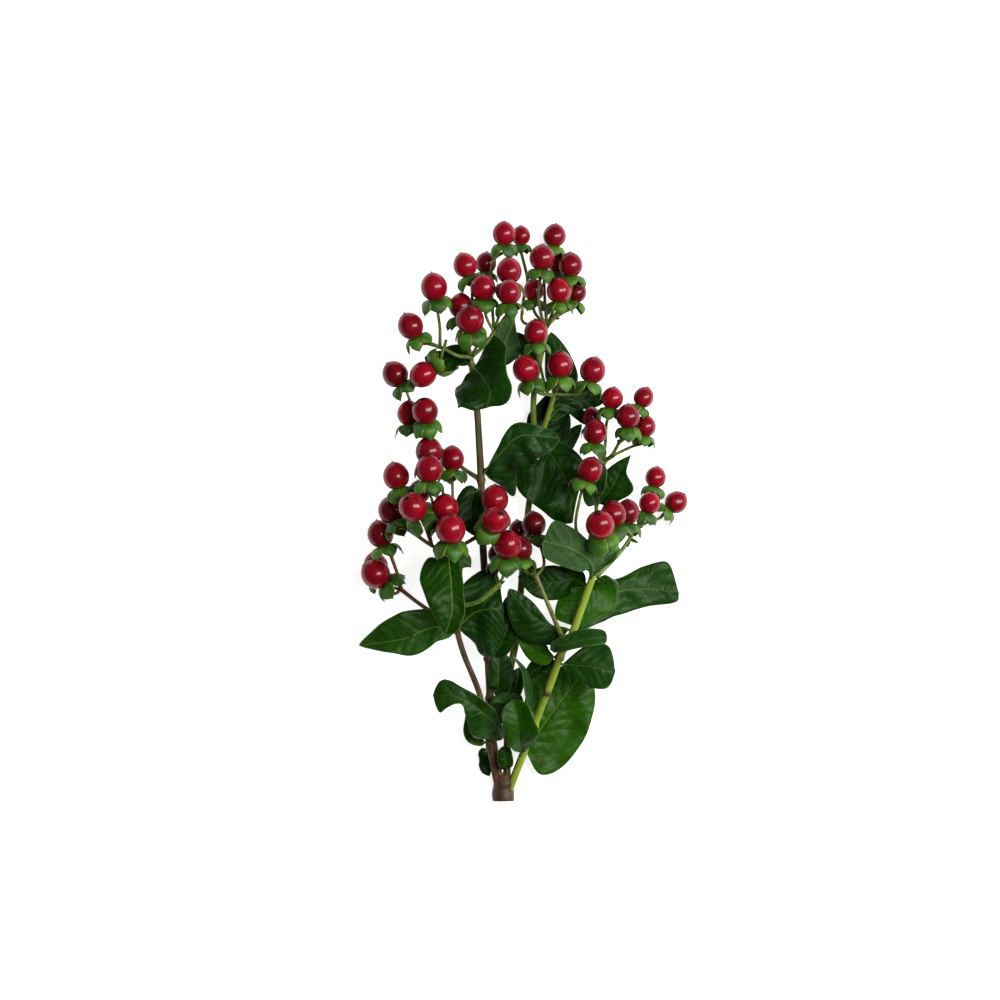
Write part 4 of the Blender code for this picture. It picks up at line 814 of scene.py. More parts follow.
berryLooks = {
    "sides": 48, "rows": 24,
    # radius and height in shares of the half width, from the apex down
    "outline": [(0, 1.09), (0.21, 1.06), (0.48, 0.93), (0.76, 0.68), (0.95, 0.34), (1.02, 0.0),
                (0.975, -0.36), (0.82, -0.67), (0.58, -0.88), (0.32, -0.96), (0, -0.99)],
    "suture": 0.022, "sutureWidth": 0.16, "carpels": 3,
    "outOfRound": 0.012,
    "styles": 4, "styleLength": 0.95, "styleRadii": [0.26, 0.2, 0.15, 0.11, 0.09],
    "styleLean": (35, 75),             # degrees from the axis
    # cells of the skin's markings for each half width of the berry
    "clouds": 1.3, "streaks": 9, "flecks": 16, "specks": 3.1, "fineGrain": 40,
    "skin": (0.29, 0.001, 0.016), "deep": (0.11, 0.0005, 0.005), "light": (0.42, 0.006, 0.026),
    "darkToneAndShade": (0.05, 0.001, 0.004),     # the darkest tone: a little on berries that are darker at random, and painted shade on berries low in the bunch
    "speck": (0.03, 0.004, 0.003), "fleck": (0.62, 0.09, 0.06),
    "pale": (0.34, 0.20, 0.05),        # round the calyx, where the skin ripens last
    "roughness": 0.41, "specular": 0.12, "coat": 0.50, "coatRoughness": 0.11,
    "styleDark": (0.012, 0.006, 0.004), "styleLight": (0.07, 0.035, 0.018),
}

# tone of single berries that stand out, by head and place in its list: darker below 0, lighter above; the
# dark ones are painted shade on berries that sit low in the bunch
berryTones = {("centre", 1): -0.65, ("centre", 2): -0.6, ("left", 6): -0.6, ("top_right", 7): -0.4,
              ("top_left", 2): -0.35, ("right_low", 3): -0.3, ("centre_low", 1): -0.7,
              ("left_high", 2): -0.4, ("left", 4): -0.35, ("left_low", 0): -0.3,
              ("right_high", 4): -0.25, ("left", 5): 0.2}

sepalLooks = {
    "rows": 9, "columns": 8, "lobes": 5, "lengths": (0.88, 1.12),
    # distance from the axis and height in shares of the berry's half width, then half width of the blade
    "route": [(0.22, -0.92), (0.60, -0.97), (0.95, -1.14), (1.12, -1.52), (1.06, -2.06)],
    "width": [0.30, 0.58, 0.70, 0.64],
    "thickness": 0.36, "ripple": 0.05, "uneven": 0.08, "cup": (-0.05, 0.10), "curl": (0.0, 0.14),
    "green": (0.060, 0.165, 0.008), "dark": (0.014, 0.060, 0.004), "edge": (0.22, 0.28, 0.04),
    "blush": (0.20, 0.055, 0.035), "vein": (0.10, 0.20, 0.03),
    "clouds": 260, "roughness": 0.38, "specular": 0.4,
}

stalkLooks = {
    "sides": 12, "forkSwell": 0.35, "footSwell": 0.3,
    "bracts": 2, "bractLength": (2.4, 3.8), "longBract": 5.2,
    # a berry's stalk ends inside its calyx, these shares of the radius below the centre
    "seat": 0.93, "neck": 1.28, "neckLength": 1.7,
    "clouds": 330, "grain": 2200, "roughness": 0.35, "specular": 0.45,
    "green": (0.15, 0.24, 0.03), "olive": (0.06, 0.09, 0.014), "red": (0.16, 0.055, 0.028),
    "woodiness": {"top_left": 0.35, "top_right": 0.45, "centre_high": 0.35, "right_high": 0.15,
                  "right_low": 0.1, "right": 0.2, "centre_low": 0.25, "centre": 0.45, "left": 0.55,
                  "left_low": 0.7, "left_high": 0.35},
}


def makeBerrySkin():
    # berryMark is the place on the berry in its own frame, berryTone is its tone, with painted shade on
    # berries low in the bunch, and a random number
    material, start = startMaterial("berrySkin")
    looks = berryLooks
    place = mark(start, "berryMark")
    tone, chance = mark(start, "berryTone").parts()[:2]
    height = place.parts()[2]
    place = place + start.add("CombineXYZ", {}, {"X": chance * 37, "Y": chance * 19, "Z": chance * 53})
    clouds = place.noise(looks["clouds"], 3, 0.55)
    streaks = place.noise(looks["streaks"], 3, 0.6, (1, 1, 0.12))
    # deeper where clouds and streaks are low at random, and painted shade where the tone is low
    ripeAndShade = (clouds * 0.9 + streaks * 0.5 + tone * 0.35 - 0.25).between(0.1, 0.85)
    colour = ripeAndShade.mix(looks["deep"], looks["skin"])
    colour = (streaks.between(0.52, 0.8) * 0.28).mix(colour, looks["light"])
    # painted shade: berries with a low tone, those low in the bunch, go nearly black
    colour = tone.between(-0.9, 0, 0.75, 0).mix(colour, looks["darkToneAndShade"])
    # paler flecks, a few dark specks and a paler ring at the calyx
    flecks = place.cells(looks["flecks"], "F1").between(0.05, 0.16, 1, 0)
    flecks = flecks * place.noise(4, 2).between(0.5, 0.65)
    colour = (flecks * 0.35).mix(colour, looks["fleck"])
    specks = place.cells(looks["specks"], "F1").between(0.035, 0.07, 1, 0)
    colour = (specks * 0.85).mix(colour, looks["speck"])
    colour = (height.between(-0.94, -0.72, 0.55, 0) * streaks).mix(colour, looks["pale"])
    colour = height.between(1.02, 1.07).mix(colour, looks["speck"])
    rough = clouds * 0.1 + specks * 0.3 + looks["roughness"]
    bump = streaks * 0.35 + place.noise(looks["fineGrain"], 2) * 0.25 - specks * 0.6
    return endMaterial(material, start, {"Base Color": colour, "Roughness": rough}, bump, (0.25, 0.0002),
                       Coat_Weight=looks["coat"], Coat_Roughness=looks["coatRoughness"],
                       Specular_IOR_Level=looks["specular"])


def makeDriedStyle():
    material, start = startMaterial("driedStyle")
    fibres = placeOn(start).noise(3000, 2)
    colour = fibres.mix(berryLooks["styleDark"], berryLooks["styleLight"])
    return endMaterial(material, start, {"Base Color": colour, "Roughness": fibres * 0.2 + 0.6},
                       fibres, (0.4, 0.0002))


def makeSepalSkin():
    # sepalMark is the share from base to tip, the share across and a random number
    material, start = startMaterial("sepalSkin")
    looks = sepalLooks
    along, across, chance = mark(start, "sepalMark").parts()
    clouds = placeOn(start).noise(looks["clouds"], 3)
    fan = (across * (along * 1.6 + 2.6)).stripes(0.05, 0.2)
    colour = (clouds + chance * 0.5 - 0.2).between(0.2, 0.85).mix(looks["dark"], looks["green"])
    colour = (fan * 0.4).mix(colour, looks["vein"])
    edge = abs(across).between(0.80, 1.0)
    colour = (edge * 0.7).mix(colour, chance.between(0.55, 0.7).mix(looks["edge"], looks["blush"]))
    colour = (along.between(0.86, 1.0) * 0.5).mix(colour, looks["edge"])
    rough = clouds * 0.2 + looks["roughness"]
    return endMaterial(material, start, {"Base Color": colour, "Roughness": rough},
                       clouds * 0.5 - fan * 0.5, (0.5, 0.0003), Specular_IOR_Level=looks["specular"])


def makeStalkSkin():
    # stalkMark is the woodiness, the share along and a random number
    material, start = startMaterial("stalkSkin")
    looks = stalkLooks
    woody, place = mark(start, "stalkMark").parts()[0], placeOn(start)
    clouds = place.noise(looks["clouds"], 3, 0.6)
    green = clouds.between(0.3, 0.7).mix(looks["olive"], looks["green"])
    colour = (woody + (clouds - 0.5) * 0.9).between(0.25, 0.8).mix(green, looks["red"])
    rough = clouds * 0.2 + looks["roughness"]
    return endMaterial(material, start, {"Base Color": colour, "Roughness": rough},
                       place.noise(looks["grain"], 2), (0.4, 0.0002), Specular_IOR_Level=looks["specular"])


def bend(centre, apex, side, away, height, turn):
    # the points round a berry's axis
    given = centre, apex, side, apex.cross(side)
    centre, apex, side, other = (np.array(part)[:, None, None] for part in given)
    reach = (side * np.cos(turn) + other * np.sin(turn)) * away
    return np.moveaxis(centre + reach + apex * height, 0, -1)


def addBerry(shape, centre, radius, apex, side, tone, draw):
    looks = berryLooks
    t = np.linspace(0, len(looks["outline"]) - 1, looks["rows"] + 1)[:, None]
    away = through([r for r, z in looks["outline"]], -0.2, -0.32, t)
    height = through([z for r, z in looks["outline"]], 1.06, -0.96, t)
    away[0] = away[-1] = 0
    turn = (np.arange(looks["sides"]) * math.tau / looks["sides"])[None]
    # three carpels meet in faint lengthwise grooves, and no berry is quite round
    start, grooves = draw.uniform(0, 2), 0
    for carpel in range(looks["carpels"]):
        off = (turn - start - carpel * math.tau / looks["carpels"] + math.pi) % math.tau - math.pi
        grooves = grooves + np.exp(-(off / looks["sutureWidth"]) ** 2)
    full = away * (1 - looks["suture"] * grooves * np.clip(away, 0, 1))
    full = full * (1 + looks["outOfRound"] * (np.cos(turn * 2 + draw.uniform(0, 6)) - 1))
    points = bend(centre, apex, side, full * radius, height * radius + 0 * turn, turn + 0 * full)
    chance = draw.random()
    shape.grid(points, 0, closed=True, berryTone=(tone, chance, 0),
               berryMark=(full * np.cos(turn), full * np.sin(turn), height + 0 * full))
    other = apex.cross(side)
    for k in range(looks["styles"]):
        angle = draw.uniform(0, math.tau)
        lean = math.radians(draw.uniform(*looks["styleLean"]))
        out = side * math.cos(angle) + other * math.sin(angle)
        way = apex * math.cos(lean) + out * math.sin(lean)
        length = looks["styleLength"] * draw.uniform(0.7, 1.2)
        foot = centre + apex * radius * 1.07 + out * 0.12
        route = [foot - apex * 0.25, foot + way * length * 0.5, foot + way * length + out * 0.1]
        shape.tube(smoothPath(route, 2), looks["styleRadii"], 6, 1,
                   berryMark=(0, 0, 1.1), berryTone=(0, chance, 0))


def addSepals(shape, centre, radius, apex, side, lengths, draw):
    looks = sepalLooks
    t = np.linspace(0, 1, looks["rows"] + 1)[:, None]
    v = np.linspace(-1, 1, looks["columns"] + 1)[None]
    firstAway, firstHeight = looks["route"][0]
    for lobe, long in enumerate(lengths):
        steps = t * (len(looks["route"]) - 1)
        away = through([r for r, z in looks["route"]], 0.0, 0.80, steps)
        height = through([z for r, z in looks["route"]], -0.86, -2.5, steps)
        drop = (height - firstHeight) * long * draw.uniform(0.92, 1.06)
        away = firstAway + (away - firstAway) * draw.uniform(0.92, 1.08)
        width = looks["width"]
        width = through([0.14] + width + [0], 0.1, -width[-1], t * (len(width) + 1)) * draw.uniform(0.9, 1.1)
        turn = lobe * math.tau / len(lengths) + draw.uniform(-looks["uneven"], looks["uneven"])
        turn = turn + v * width / np.maximum(away, 0.4)
        cup = draw.uniform(*looks["cup"])
        curl = draw.uniform(*looks["curl"]) * t ** 4
        ripple = looks["ripple"] * np.sin(5 * t + draw.uniform(0, 6) + v * 2) * v * v
        reach = (away + curl - cup * v * v + ripple + 0 * v) * radius
        middle = bend(centre, apex, side, reach, (firstHeight + drop + 0.06 * v * v * t) * radius, turn)
        thick = looks["thickness"] / 2 * (1 - 0.6 * np.maximum(np.abs(v), t ** 3)) + 0 * t
        chance = draw.random()
        shape.sheet(middle, thick, thick, (0, 0), sepalMark=(t + 0 * v, v + 0 * t, chance),
                    stalkMark=(0, t + 0 * v, chance))


def addBract(shape, start, way, length, draw):
    # a small pointed leaf where stalks part
    way = Vector(way).normalized()
    across = way.cross(Vector((draw.uniform(-0.4, 0.4), draw.uniform(-0.4, 0.4), 1))).normalized()
    face = across.cross(way)
    t, v = np.linspace(0, 1, 7)[:, None], np.linspace(-1, 1, 5)[None]
    width = length * 0.17 * np.sin(math.pi * np.clip(t, 0, 1) ** 0.7) ** 0.8
    parts = [(t * length) * np.array(way)[k] + v * width * np.array(across)[k]
             + (0.35 * (t * 2) ** 2 + v * v * width * 0.4) * np.array(face)[k] + start[k] for k in range(3)]
    chance = draw.random()
    thick = 0.16 + 0 * t * v
    shape.sheet(np.stack(parts, -1), thick, thick, (0, 0),
                sepalMark=(t + 0 * v, v * 0.8 + 0 * t, chance), stalkMark=(0, t + 0 * v, chance))


def makeHead(name, head, materials, draw):
    berries, stalks = Shape(), Shape()
    extra = random.Random("head " + name)
    woodiness = stalkLooks["woodiness"][name]
    root, way = leavingPoint(head["root"], head["stalks"][0][1][1], head["radius"])

    def placed(point):
        return Vector(head["stalks"][point][1][-1] if isinstance(point, int) else point)

    def addStalk(route, radii, wood):
        share = np.linspace(0, 1, len(route))[:, None]
        stalks.tube(route, radii, stalkLooks["sides"], 1, sepalMark=(0, 0, 0),
                    stalkMark=(wood + 0 * share, share, extra.random()))

    for radius, route in head["stalks"]:
        rooted = route[0] == "root"
        route = [root if point == "root" else placed(point) for point in route]
        if rooted and head["root"][1] == "top":
            route.insert(1, root + way * tipLead)
        if rooted:
            # its foot is sunk in the shoot
            route[0] = root - way * (touchGap + 1.0)
        points = smoothPath(route, 8)
        points.append(points[-1] + (points[-1] - points[-2]).normalized() * stalkOverrun)
        share = np.linspace(0, 1, len(points))
        swell = stalkLooks["forkSwell"] * share ** 8 + stalkLooks["footSwell"] * (1 - share) ** 6
        radii = radius * (1 + swell)
        if rooted:
            radii = radii + (head["radius"] - radius) * (1 - share) ** 2
        addStalk(points, radii, woodiness)
        for bract in range(stalkLooks["bracts"]):
            angle = extra.uniform(0, math.tau)
            out = Vector((math.cos(angle), math.sin(angle), 0.3)) * 1.1
            towards = (points[-1] - points[-4]).normalized() + out
            foot = points[-1] - towards.normalized() * 0.2
            addBract(stalks, foot, towards, extra.uniform(*stalkLooks["bractLength"]), extra)
    for start, towards in head.get("bracts", []):
        addBract(stalks, Vector(start), towards, stalkLooks["longBract"], extra)
    for place, (centre, radius, apex, route) in enumerate(head["berries"]):
        centre, apex = Vector(centre), Vector(apex).normalized()
        side = Vector((0, 0, 1)).cross(apex) if abs(apex.z) < 0.9 else Vector((1, 0, 0)).cross(apex)
        side = Matrix.Rotation(draw.uniform(0, math.tau), 3, apex) @ side.normalized()
        lengths = [draw.uniform(*sepalLooks["lengths"]) for lobe in range(sepalLooks["lobes"])]
        # painted shade: the listed berries low in the bunch get a dark tone, the rest a random one
        tone = berryTones.get((name, place), extra.uniform(-0.22, 0.3))
        addBerry(berries, centre, radius, apex, side, tone, extra)
        addSepals(stalks, centre, radius, apex, side, lengths, extra)
        top = centre - apex * radius * stalkLooks["seat"]
        neck = centre - apex * (radius * stalkLooks["neck"] + stalkLooks["neckLength"])
        points = smoothPath([placed(point) for point in route] + [neck, top], 8)
        share = np.linspace(0, 1, len(points))
        radii = pedicelRadius * (1 + 0.25 * (1 - share) ** 8 + 1.0 * share ** 14)
        addStalk(points, radii, woodiness + 0.15 * (1 - share)[:, None] - 0.1)
    berries.piece("berries_" + name, "head_" + name, "berry", materials["berries"])
    stalks.piece("calyces_" + name, "head_" + name, "stalk", materials["stalks"])


# Leaves.

leafLooks = {
    "thickness": 0.42,
    "rowsEach": 1.3, "columnsEach": 1.1,    # for each millimetre along and across
    "pucker": 0.20,                    # rise of the blade between its side veins
    "groove": 0.34, "grooveWidth": 1.1,     # the midrib's channel
    "rib": 0.32, "ribWidth": 0.75,     # the midrib below
    "veinDepth": 0.12, "veinWidth": 0.6,
    "veinGap": 4.6, "mostVeins": 8,    # the least millimetres between side veins, and how many at most
    "slant": 0.70, "arch": 0.022,      # side veins lean towards the tip and arch
    "stray": 0.22, "straySize": 19,    # of the veins from an even row
    "halvesApart": 0.3,                # the right half's veins start this share of a gap later
    # how high the blade's unevenness is, and how long from rise to rise
    "broadFolds": 0.80, "broadSize": 17,
    "fineFolds": 0.10, "fineSize": 4.5,
    "edgeFolds": 0.35, "edgeSize": 9,
    "droop": 0.5,                      # of the very edge
    "stalk": (0.85, 0.28), "stalkReach": 2.2,
    "dark": (0.002, 0.015, 0.0005), "green": (0.010, 0.054, 0.002), "fresh": (0.040, 0.135, 0.002),
    # painted sheen: a grey-green that stands in for the soft reflection of the light on the upper face
    "paintedSheen": (0.030, 0.070, 0.030),
    "midrib": (0.17, 0.25, 0.045), "edge": (0.11, 0.19, 0.045),
    "spot": (0.055, 0.028, 0.012),
    "underGreen": (0.026, 0.072, 0.018), "underPale": (0.050, 0.115, 0.036),
    "underVein": (0.085, 0.16, 0.05),
    "net": 0.62, "smallNet": 1.7,      # cells of the finest veins for each millimetre
    "roughness": 0.20, "specular": 0.15, "underRoughness": 0.5, "underSpecular": 0.2,
}

# by leaf: how yellow-green it is and how much painted grey sheen it has, how light its midrib is, how lively
# its relief is, how pointed its base and tip are, and brown spots as layout X, Y and radius
leafTones = {
    "leaf_top_curled": {"paintedSheen": 0.15, "relief": 1.1, "rib": 0.5},
    "leaf_centre_rising": {"paintedSheen": 0.45, "relief": 1.9, "rib": 0.6},
    "leaf_centre_broad": {"relief": 1.6, "rib": 0.3},
    "leaf_right_narrow": {"paintedSheen": 0.4},
    "leaf_right_pointed": {"tip": 1.0},
    "leaf_high_thin": {"tip": 0.9},
    "leaf_right_behind": {"yellow": 0.55},
    "leaf_right_long": {"yellow": 0.2, "paintedSheen": 0.1, "rib": 0.7},
    "leaf_right_folded": {"paintedSheen": 0.55, "yellow": 0.2},
    "leaf_right_lower": {"paintedSheen": 0.45, "yellow": 0.15, "relief": 1.2},
    "leaf_low_biggest": {"yellow": 0.5, "relief": 1.5, "rib": 0.8,
                         "spots": [(9, -128, 1.1), (10.5, -126.3, 0.6)]},
    "leaf_centre_dark": {"paintedSheen": 0.2, "relief": 1.2},
    "leaf_centre_light": {"yellow": 0.8},
    "leaf_left_front": {"yellow": 0.1, "relief": 1.1, "rib": 1.1},
    "leaf_left_small": {"yellow": 0.4},
    "leaf_left_long": {"yellow": 0.35, "paintedSheen": 0.25, "relief": 1.3, "rib": 0.8,
                       "spots": [(-56.5, -65.5, 1.3)]},
    "leaf_left_folded": {"paintedSheen": 0.25, "relief": 1.3, "rib": 0.6},
    "leaf_low_waved": {"paintedSheen": 0.35, "yellow": 0.1},
    "leaf_low_left": {"yellow": 0.7},
    "leaf_low_cupped": {"yellow": 0.25, "rib": 0.2},
    "leaf_low_edge": {"paintedSheen": 0.8},
}


def readBlade(start):
    # bladePlace: millimetres along and across the blade and a random number
    # bladeVein: phase of the side veins, millimetres from the edge, how light the midrib is
    # bladeTone: how yellow-green, how much painted grey sheen, how brown
    place = mark(start, "bladePlace")
    return place, abs(place.parts()[1]), mark(start, "bladeVein").parts(), mark(start, "bladeTone").parts()


def makeLeafUpper():
    material, start = startMaterial("leafUpper")
    looks = leafLooks
    place, across, (phase, fromEdge, ribLight), (yellow, paintedSheen, spot) = readBlade(start)
    clouds = place.noise(0.11, 4, 0.6)
    fine = place.noise(0.75, 3, 0.6)
    midrib = across.between(0.05, 0.45, 1, 0)
    veins = phase.stripes(0.015, 0.11) * fromEdge.between(0.4, 3.0)
    net = place.cells(looks["net"]).between(0.02, 0.16, 1, 0)
    smallNet = place.cells(looks["smallNet"]).between(0.02, 0.2, 1, 0)
    colour = (clouds * 0.8 + fine * 0.4 - 0.1).between(0.2, 0.85).mix(looks["dark"], looks["green"])
    colour = (yellow * (clouds * 0.8 + 0.45)).mix(colour, looks["fresh"])
    # painted sheen: grey patches that stand in for reflected light
    colour = (paintedSheen * clouds.between(0.25, 0.7)).mix(colour, looks["paintedSheen"])
    colour = (net * 0.07 + smallNet * 0.05).mix(colour, looks["fresh"])
    colour = (veins * 0.16).mix(colour, looks["fresh"])
    colour = (midrib * ribLight).mix(colour, looks["midrib"])
    colour = (fromEdge.between(0.1, 0.45, 1, 0) * 0.6).mix(colour, looks["edge"])
    colour = spot.mix(colour, looks["spot"])
    relief = fine * 0.25 - veins * 0.55 - net * 0.25 - smallNet * 0.12 - midrib * 0.3
    rough = clouds * 0.14 + fine * 0.10 - paintedSheen * 0.04 + looks["roughness"]
    return endMaterial(material, start, {"Base Color": colour, "Roughness": rough}, relief, (0.5, 0.0003),
                       Specular_IOR_Level=looks["specular"])


def makeLeafUnder():
    material, start = startMaterial("leafUnder")
    looks = leafLooks
    place, across, (phase, fromEdge, _), (_, _, spot) = readBlade(start)
    clouds = place.noise(0.12, 4, 0.6)
    fine = place.noise(0.9, 3, 0.6)
    midrib = across.between(0.2, 0.9, 1, 0)
    veins = phase.stripes(0.02, 0.10) * fromEdge.between(0.2, 2.0)
    net = place.cells(looks["net"]).between(0.02, 0.15, 1, 0)
    pale = (clouds * 0.8 + fine * 0.3 - 0.1).between(0.2, 0.8)
    colour = pale.mix(looks["underGreen"], looks["underPale"])
    colour = (net * 0.25 + veins * 0.45).mix(colour, looks["underVein"])
    colour = (midrib * 0.3).mix(colour, looks["midrib"])
    colour = (fromEdge.between(0.12, 0.5, 1, 0) * 0.5).mix(colour, looks["edge"])
    colour = spot.mix(colour, looks["spot"])
    relief = fine * 0.3 + veins * 0.6 + net * 0.35 + midrib * 0.4
    rough = fine * 0.15 + looks["underRoughness"]
    return endMaterial(material, start, {"Base Color": colour, "Roughness": rough}, relief, (0.7, 0.0004),
                       Specular_IOR_Level=looks["underSpecular"])


def leafFrames(leaf, shares):
    # midrib point, direction, side and face at each share of the blade's length, and that length
    start, way = leavingPoint(leaf["on"], leaf["spine"][0], leafRootRadius)
    route = smoothPath([start] + list(leaf["spine"]), 24)
    last = len(route) - 1
    ways = [(route[min(i + 2, last)] - route[max(i - 2, 0)]).normalized() for i in range(len(route))]
    steps = [0.0]
    for here, ahead in zip(route, route[1:]):
        steps.append(steps[-1] + (ahead - here).length)
    wanted = np.clip(shares, 0, 1) * steps[-1]
    point, along = (np.stack([np.interp(wanted, steps, np.array(values)[:, k]) for k in range(3)], -1)
                    for values in (route, ways))
    along /= np.linalg.norm(along, axis=-1, keepdims=True)
    face = np.array([0, 0, 1]) - along * along[:, 2:]
    face /= np.linalg.norm(face, axis=-1, keepdims=True)
    startRoll, endRoll = leaf.get("roll", (0, 0))
    roll = np.radians(startRoll + (endRoll - startRoll) * np.clip(shares, 0, 1))[:, None]
    face = face * np.cos(roll) + np.cross(along, face) * np.sin(roll)
    return point, along, np.cross(along, face), face, steps[-1], start, way


def bladeRelief(name, leaf, s, u, v, across, width, phase, spacing):
    # the midrib's channel, sunk side veins, the blade puckered between them, and an uneven edge
    looks, lively = leafLooks, leafTones.get(name, {}).get("relief", 1.0)
    distance, bothV = np.abs(across), np.abs(v)[None]
    offVein = np.abs((phase + 0.5) % 1 - 0.5)
    inner = np.clip(distance / 2.5, 0, 1) * np.clip((width - distance) / 2.5, 0, 1)
    broad = unevenness(s, across, name + " broad", looks["broadSize"])
    fine = unevenness(s, across, name + " fine", looks["fineSize"])
    edge = unevenness(s, across * 0, name + " edge", looks["edgeSize"])
    relief = looks["pucker"] * lively * (np.sin(math.pi * (phase % 1)) ** 2 - 0.5) * inner
    relief -= looks["veinDepth"] * np.exp(-(offVein * spacing / looks["veinWidth"]) ** 2) * inner
    channel = np.exp(-(distance / looks["grooveWidth"]) ** 2) * np.clip(1.1 - u, 0, 1)[:, None]
    relief -= looks["groove"] * channel
    relief += looks["broadFolds"] * lively * broad * np.clip(distance / 6, 0, 1)
    relief += looks["fineFolds"] * lively * fine * inner
    relief += looks["edgeFolds"] * edge * bothV ** 6 * np.clip(width / 6, 0, 1)
    relief -= looks["droop"] * bothV ** 14 * np.clip(width / 8, 0, 1)
    return -relief if leaf.get("under") else relief


def makeLeaf(name, leaf, materials):
    looks, tone = leafLooks, leafTones.get(name, {})
    # each half's widths, and how far its edge lies ahead
    halves = [[entry if isinstance(entry, tuple) else (entry, 0) for entry in leaf[half]]
              for half in ("left", "right")]
    widths = [[width for width, _ in half] for half in halves]
    aheads = [[ahead for _, ahead in half] for half in halves]
    stations = len(widths[0])
    shares = [0] + [(k + 0.5) / stations for k in range(stations)] + [1]
    length = leafFrames(leaf, np.array([0.0]))[4]
    rows = int(min(max(length * looks["rowsEach"], 26), 64))
    columns = 2 * int(min(max(max(widths[0] + widths[1]) * looks["columnsEach"], 9), 20))
    t = np.linspace(0, stations + 1, rows + 1)
    basePoint, tipPoint = tone.get("base", 0.3), tone.get("tip", 0.35)
    beyond = 1 - (1 - shares[-2]) * (1 - 2 * tipPoint)
    u = np.clip(through(shares, shares[1] * (1 - 2 * basePoint), beyond, t), 0, 1)
    q = np.linspace(-1, 1, columns + 1)
    v = np.sign(q) * np.abs(q) ** 1.3
    point, along, side, face, length, start, way = leafFrames(leaf, u)
    width, ahead = np.zeros((rows + 1, columns + 1)), np.zeros((rows + 1, columns + 1))
    for half in (0, 1):
        this, other = widths[half], widths[1 - half]
        edge = through([0] + this + [0], -other[0], -other[-1], t)
        lead = through([0] + aheads[half] + [0], aheads[1 - half][0], aheads[1 - half][-1], t)
        here = (v > 0) if half else (v <= 0)
        width[:, here] = np.maximum(edge, 0)[:, None]
        ahead[:, here] = lead[:, None]
    bothV = np.abs(v)[None]
    across = v[None] * width
    distance = np.abs(across)
    leftFold, rightFold = (math.tan(math.radians(angle)) for angle in leaf["fold"])
    fold = np.where(v > 0, rightFold, leftFold)[None]
    height, count = leaf.get("wave", (0.4, 1.5))
    lag = np.where(v > 0, 1.9, 0)[None]
    lift = fold * (np.sqrt(distance ** 2 + 1.2) - math.sqrt(1.2))
    lift = lift + height * np.sin(math.tau * count * u[:, None] + lag) * bothV ** 2
    seed = random.Random(name).uniform(0, 90)
    s = u[:, None] * length + ahead * bothV
    spacing = max(looks["veinGap"], length / looks["mostVeins"])
    phase = (s - looks["slant"] * distance - looks["arch"] * distance ** 2) / spacing
    phase = phase + looks["halvesApart"] * (v > 0)[None]
    phase = phase + looks["stray"] * unevenness(s, across, name + " veins", looks["straySize"])
    lift = lift + bladeRelief(name, leaf, s, u, v, across, width, phase, spacing)
    middle = (point[:, None] + side[:, None] * across[..., None] + face[:, None] * lift[..., None]
              + along[:, None] * (bothV * ahead)[..., None])
    half = looks["thickness"] / 2 * (1 - 0.55 * bothV ** 4) + 0 * width
    fading = np.clip(1.05 - u, 0, 1)[:, None] ** 0.6
    ridge = looks["rib"] * np.exp(-(distance / looks["ribWidth"]) ** 2) * fading
    over, under = (half + ridge, half) if leaf.get("under") else (half, half + ridge)
    spot = 0 * width
    for x, y, radius in tone.get("spots", []):
        off = np.hypot(middle[..., 0] - x, middle[..., 1] - y)
        spot = np.maximum(spot, np.clip(1.3 - off / radius, 0, 1))
    rib = tone.get("rib", 0.3) * (1 - 0.7 * u[:, None]) + 0 * width
    shape = Shape()
    shape.sheet(middle, over, under, (1, 0) if leaf.get("under") else (0, 1), bladePlace=(s, across, seed),
                bladeVein=(phase, width - distance, rib),
                bladeTone=(tone.get("yellow", 0.0), tone.get("paintedSheen", 0.0), spot))
    # the short stalk that joins it to its shoot
    inBlade = start + Vector(along[0]) * looks["stalkReach"]
    stalk = smoothPath([start - way * (touchGap + 1.0), start, inBlade], 4)
    shape.tube(stalk, np.linspace(*looks["stalk"], len(stalk)), 10, 1, bladePlace=(0, 0, seed),
               bladeVein=(0.5, 3, 0), bladeTone=(0.5, 0, 0))
    slotName = "leaf_under" if leaf.get("under") else "leaf_upper"
    shape.piece(name.replace("leaf_", "blade_"), name, slotName, materials)


# All pieces.

makeStem([makeBark(), makeCutWood()])
print("stem made")

headMaterials = {"berries": [makeBerrySkin(), makeDriedStyle()],
                 "stalks": [makeSepalSkin(), makeStalkSkin()]}
calyxDraw = random.Random(20)   # turns the calyces as the solids have them
for name, head in heads.items():
    makeHead(name, head, headMaterials, calyxDraw)
print("heads made:", len(heads))

leafMaterials = [makeLeafUpper(), makeLeafUnder()]
for name, leaf in leaves.items():
    makeLeaf(name, leaf, leafMaterials)
print("leaves made:", len(leaves))


# Floor, light and camera.

stageLooks = {
    "floor": (0.86, 0.86, 0.87), "floorSize": 14.0,
    "floorGlow": 0.62,                 # the surface is lit from below too, so shadows on it stay pale
    "skyStrength": 0.12,
    "contrast": "Medium High Contrast",
    "lens": 300.0, "sensor": 36.0,
    "imageSize": 1000, "scale": 0.5,   # pixels across, and millimetres for each
    "middle": (-12.0, 2.5, 33.0),      # the layout point in the middle of the image
}

lights = {
    # place, size and power of each soft light, all aimed at the stem, and whether it mirrors in what shines
    "window": {"place": (1.35, 0.3, 1.8), "size": (0.75, 2.4), "power": 72, "mirrored": True},
    "fill": {"place": (-1.9, 0.9, 1.4), "size": (1.6, 2.4), "power": 12, "mirrored": False},
}


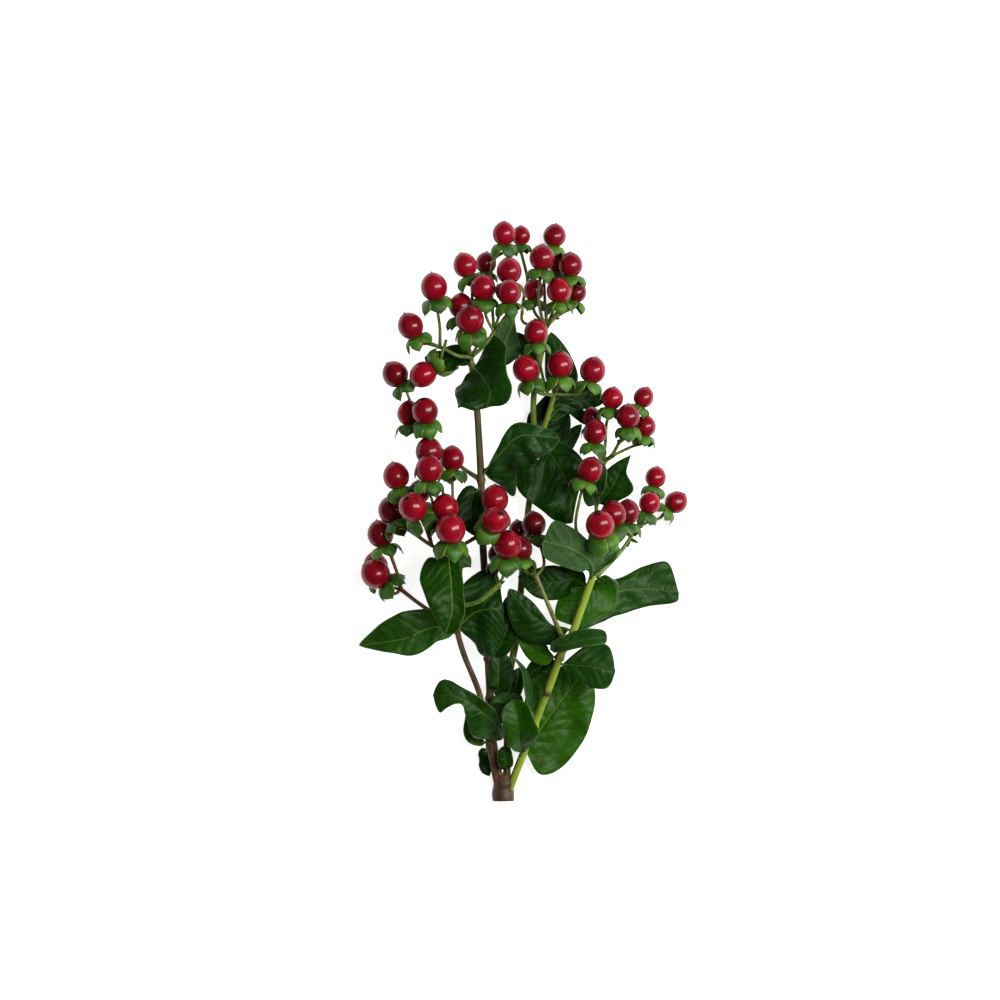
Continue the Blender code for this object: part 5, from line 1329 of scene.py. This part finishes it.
def makeFloor():
    looks = stageLooks
    half = looks["floorSize"] / 2
    mesh = bpy.data.meshes.new("floor")
    corners = [(-half, -half, 0), (half, -half, 0), (half, half, 0), (-half, half, 0)]
    mesh.from_pydata(corners, [], [(0, 1, 2, 3)])
    material, start = startMaterial("paleFloor")
    grain = placeOn(start).noise(40, 3)
    colour = grain.mix(looks["floor"], tuple(part * 0.985 for part in looks["floor"]))
    mesh.materials.append(endMaterial(
        material, start, {"Base Color": colour, "Roughness": grain * 0.1 + 0.8},
        Emission_Color=(1, 1, 1, 1), Emission_Strength=looks["floorGlow"]))
    floor = bpy.data.objects.new("floor", mesh)
    bpy.context.scene.collection.objects.link(floor)


def makeLight():
    world = bpy.data.worlds.new("paleRoom")
    world.use_nodes = True
    background = world.node_tree.nodes["Background"]
    background.inputs["Color"].default_value = (1, 1, 1, 1)
    background.inputs["Strength"].default_value = stageLooks["skyStrength"]
    bpy.context.scene.world = world
    for name, look in lights.items():
        light = bpy.data.lights.new(name, "AREA")
        light.shape = "RECTANGLE"
        light.size, light.size_y = look["size"]
        light.energy = look["power"]
        lamp = bpy.data.objects.new(name, light)
        lamp.location = look["place"]
        lamp.visible_glossy = look["mirrored"]
        lamp.rotation_euler = (-Vector(look["place"])).to_track_quat("-Z", "Y").to_euler()
        bpy.context.scene.collection.objects.link(lamp)


def makeCamera():
    # straight above, so far away that it sees the stem nearly without perspective
    looks, scene = stageLooks, bpy.context.scene
    camera = bpy.data.cameras.new("camera")
    camera.lens, camera.sensor_width = looks["lens"], looks["sensor"]
    camera.clip_end = 100
    eye = bpy.data.objects.new("camera", camera)
    away = looks["imageSize"] * looks["scale"] * looks["lens"] / looks["sensor"]
    x, y, z = looks["middle"]
    eye.location = (Vector((x, y, z + away)) - Vector((*boxMiddle, 0))) * mm
    scene.collection.objects.link(eye)
    scene.camera = eye
    scene.view_settings.view_transform = "Standard"
    scene.view_settings.look = looks["contrast"]


makeFloor()
makeLight()
makeCamera()
print("floor, light and camera made")
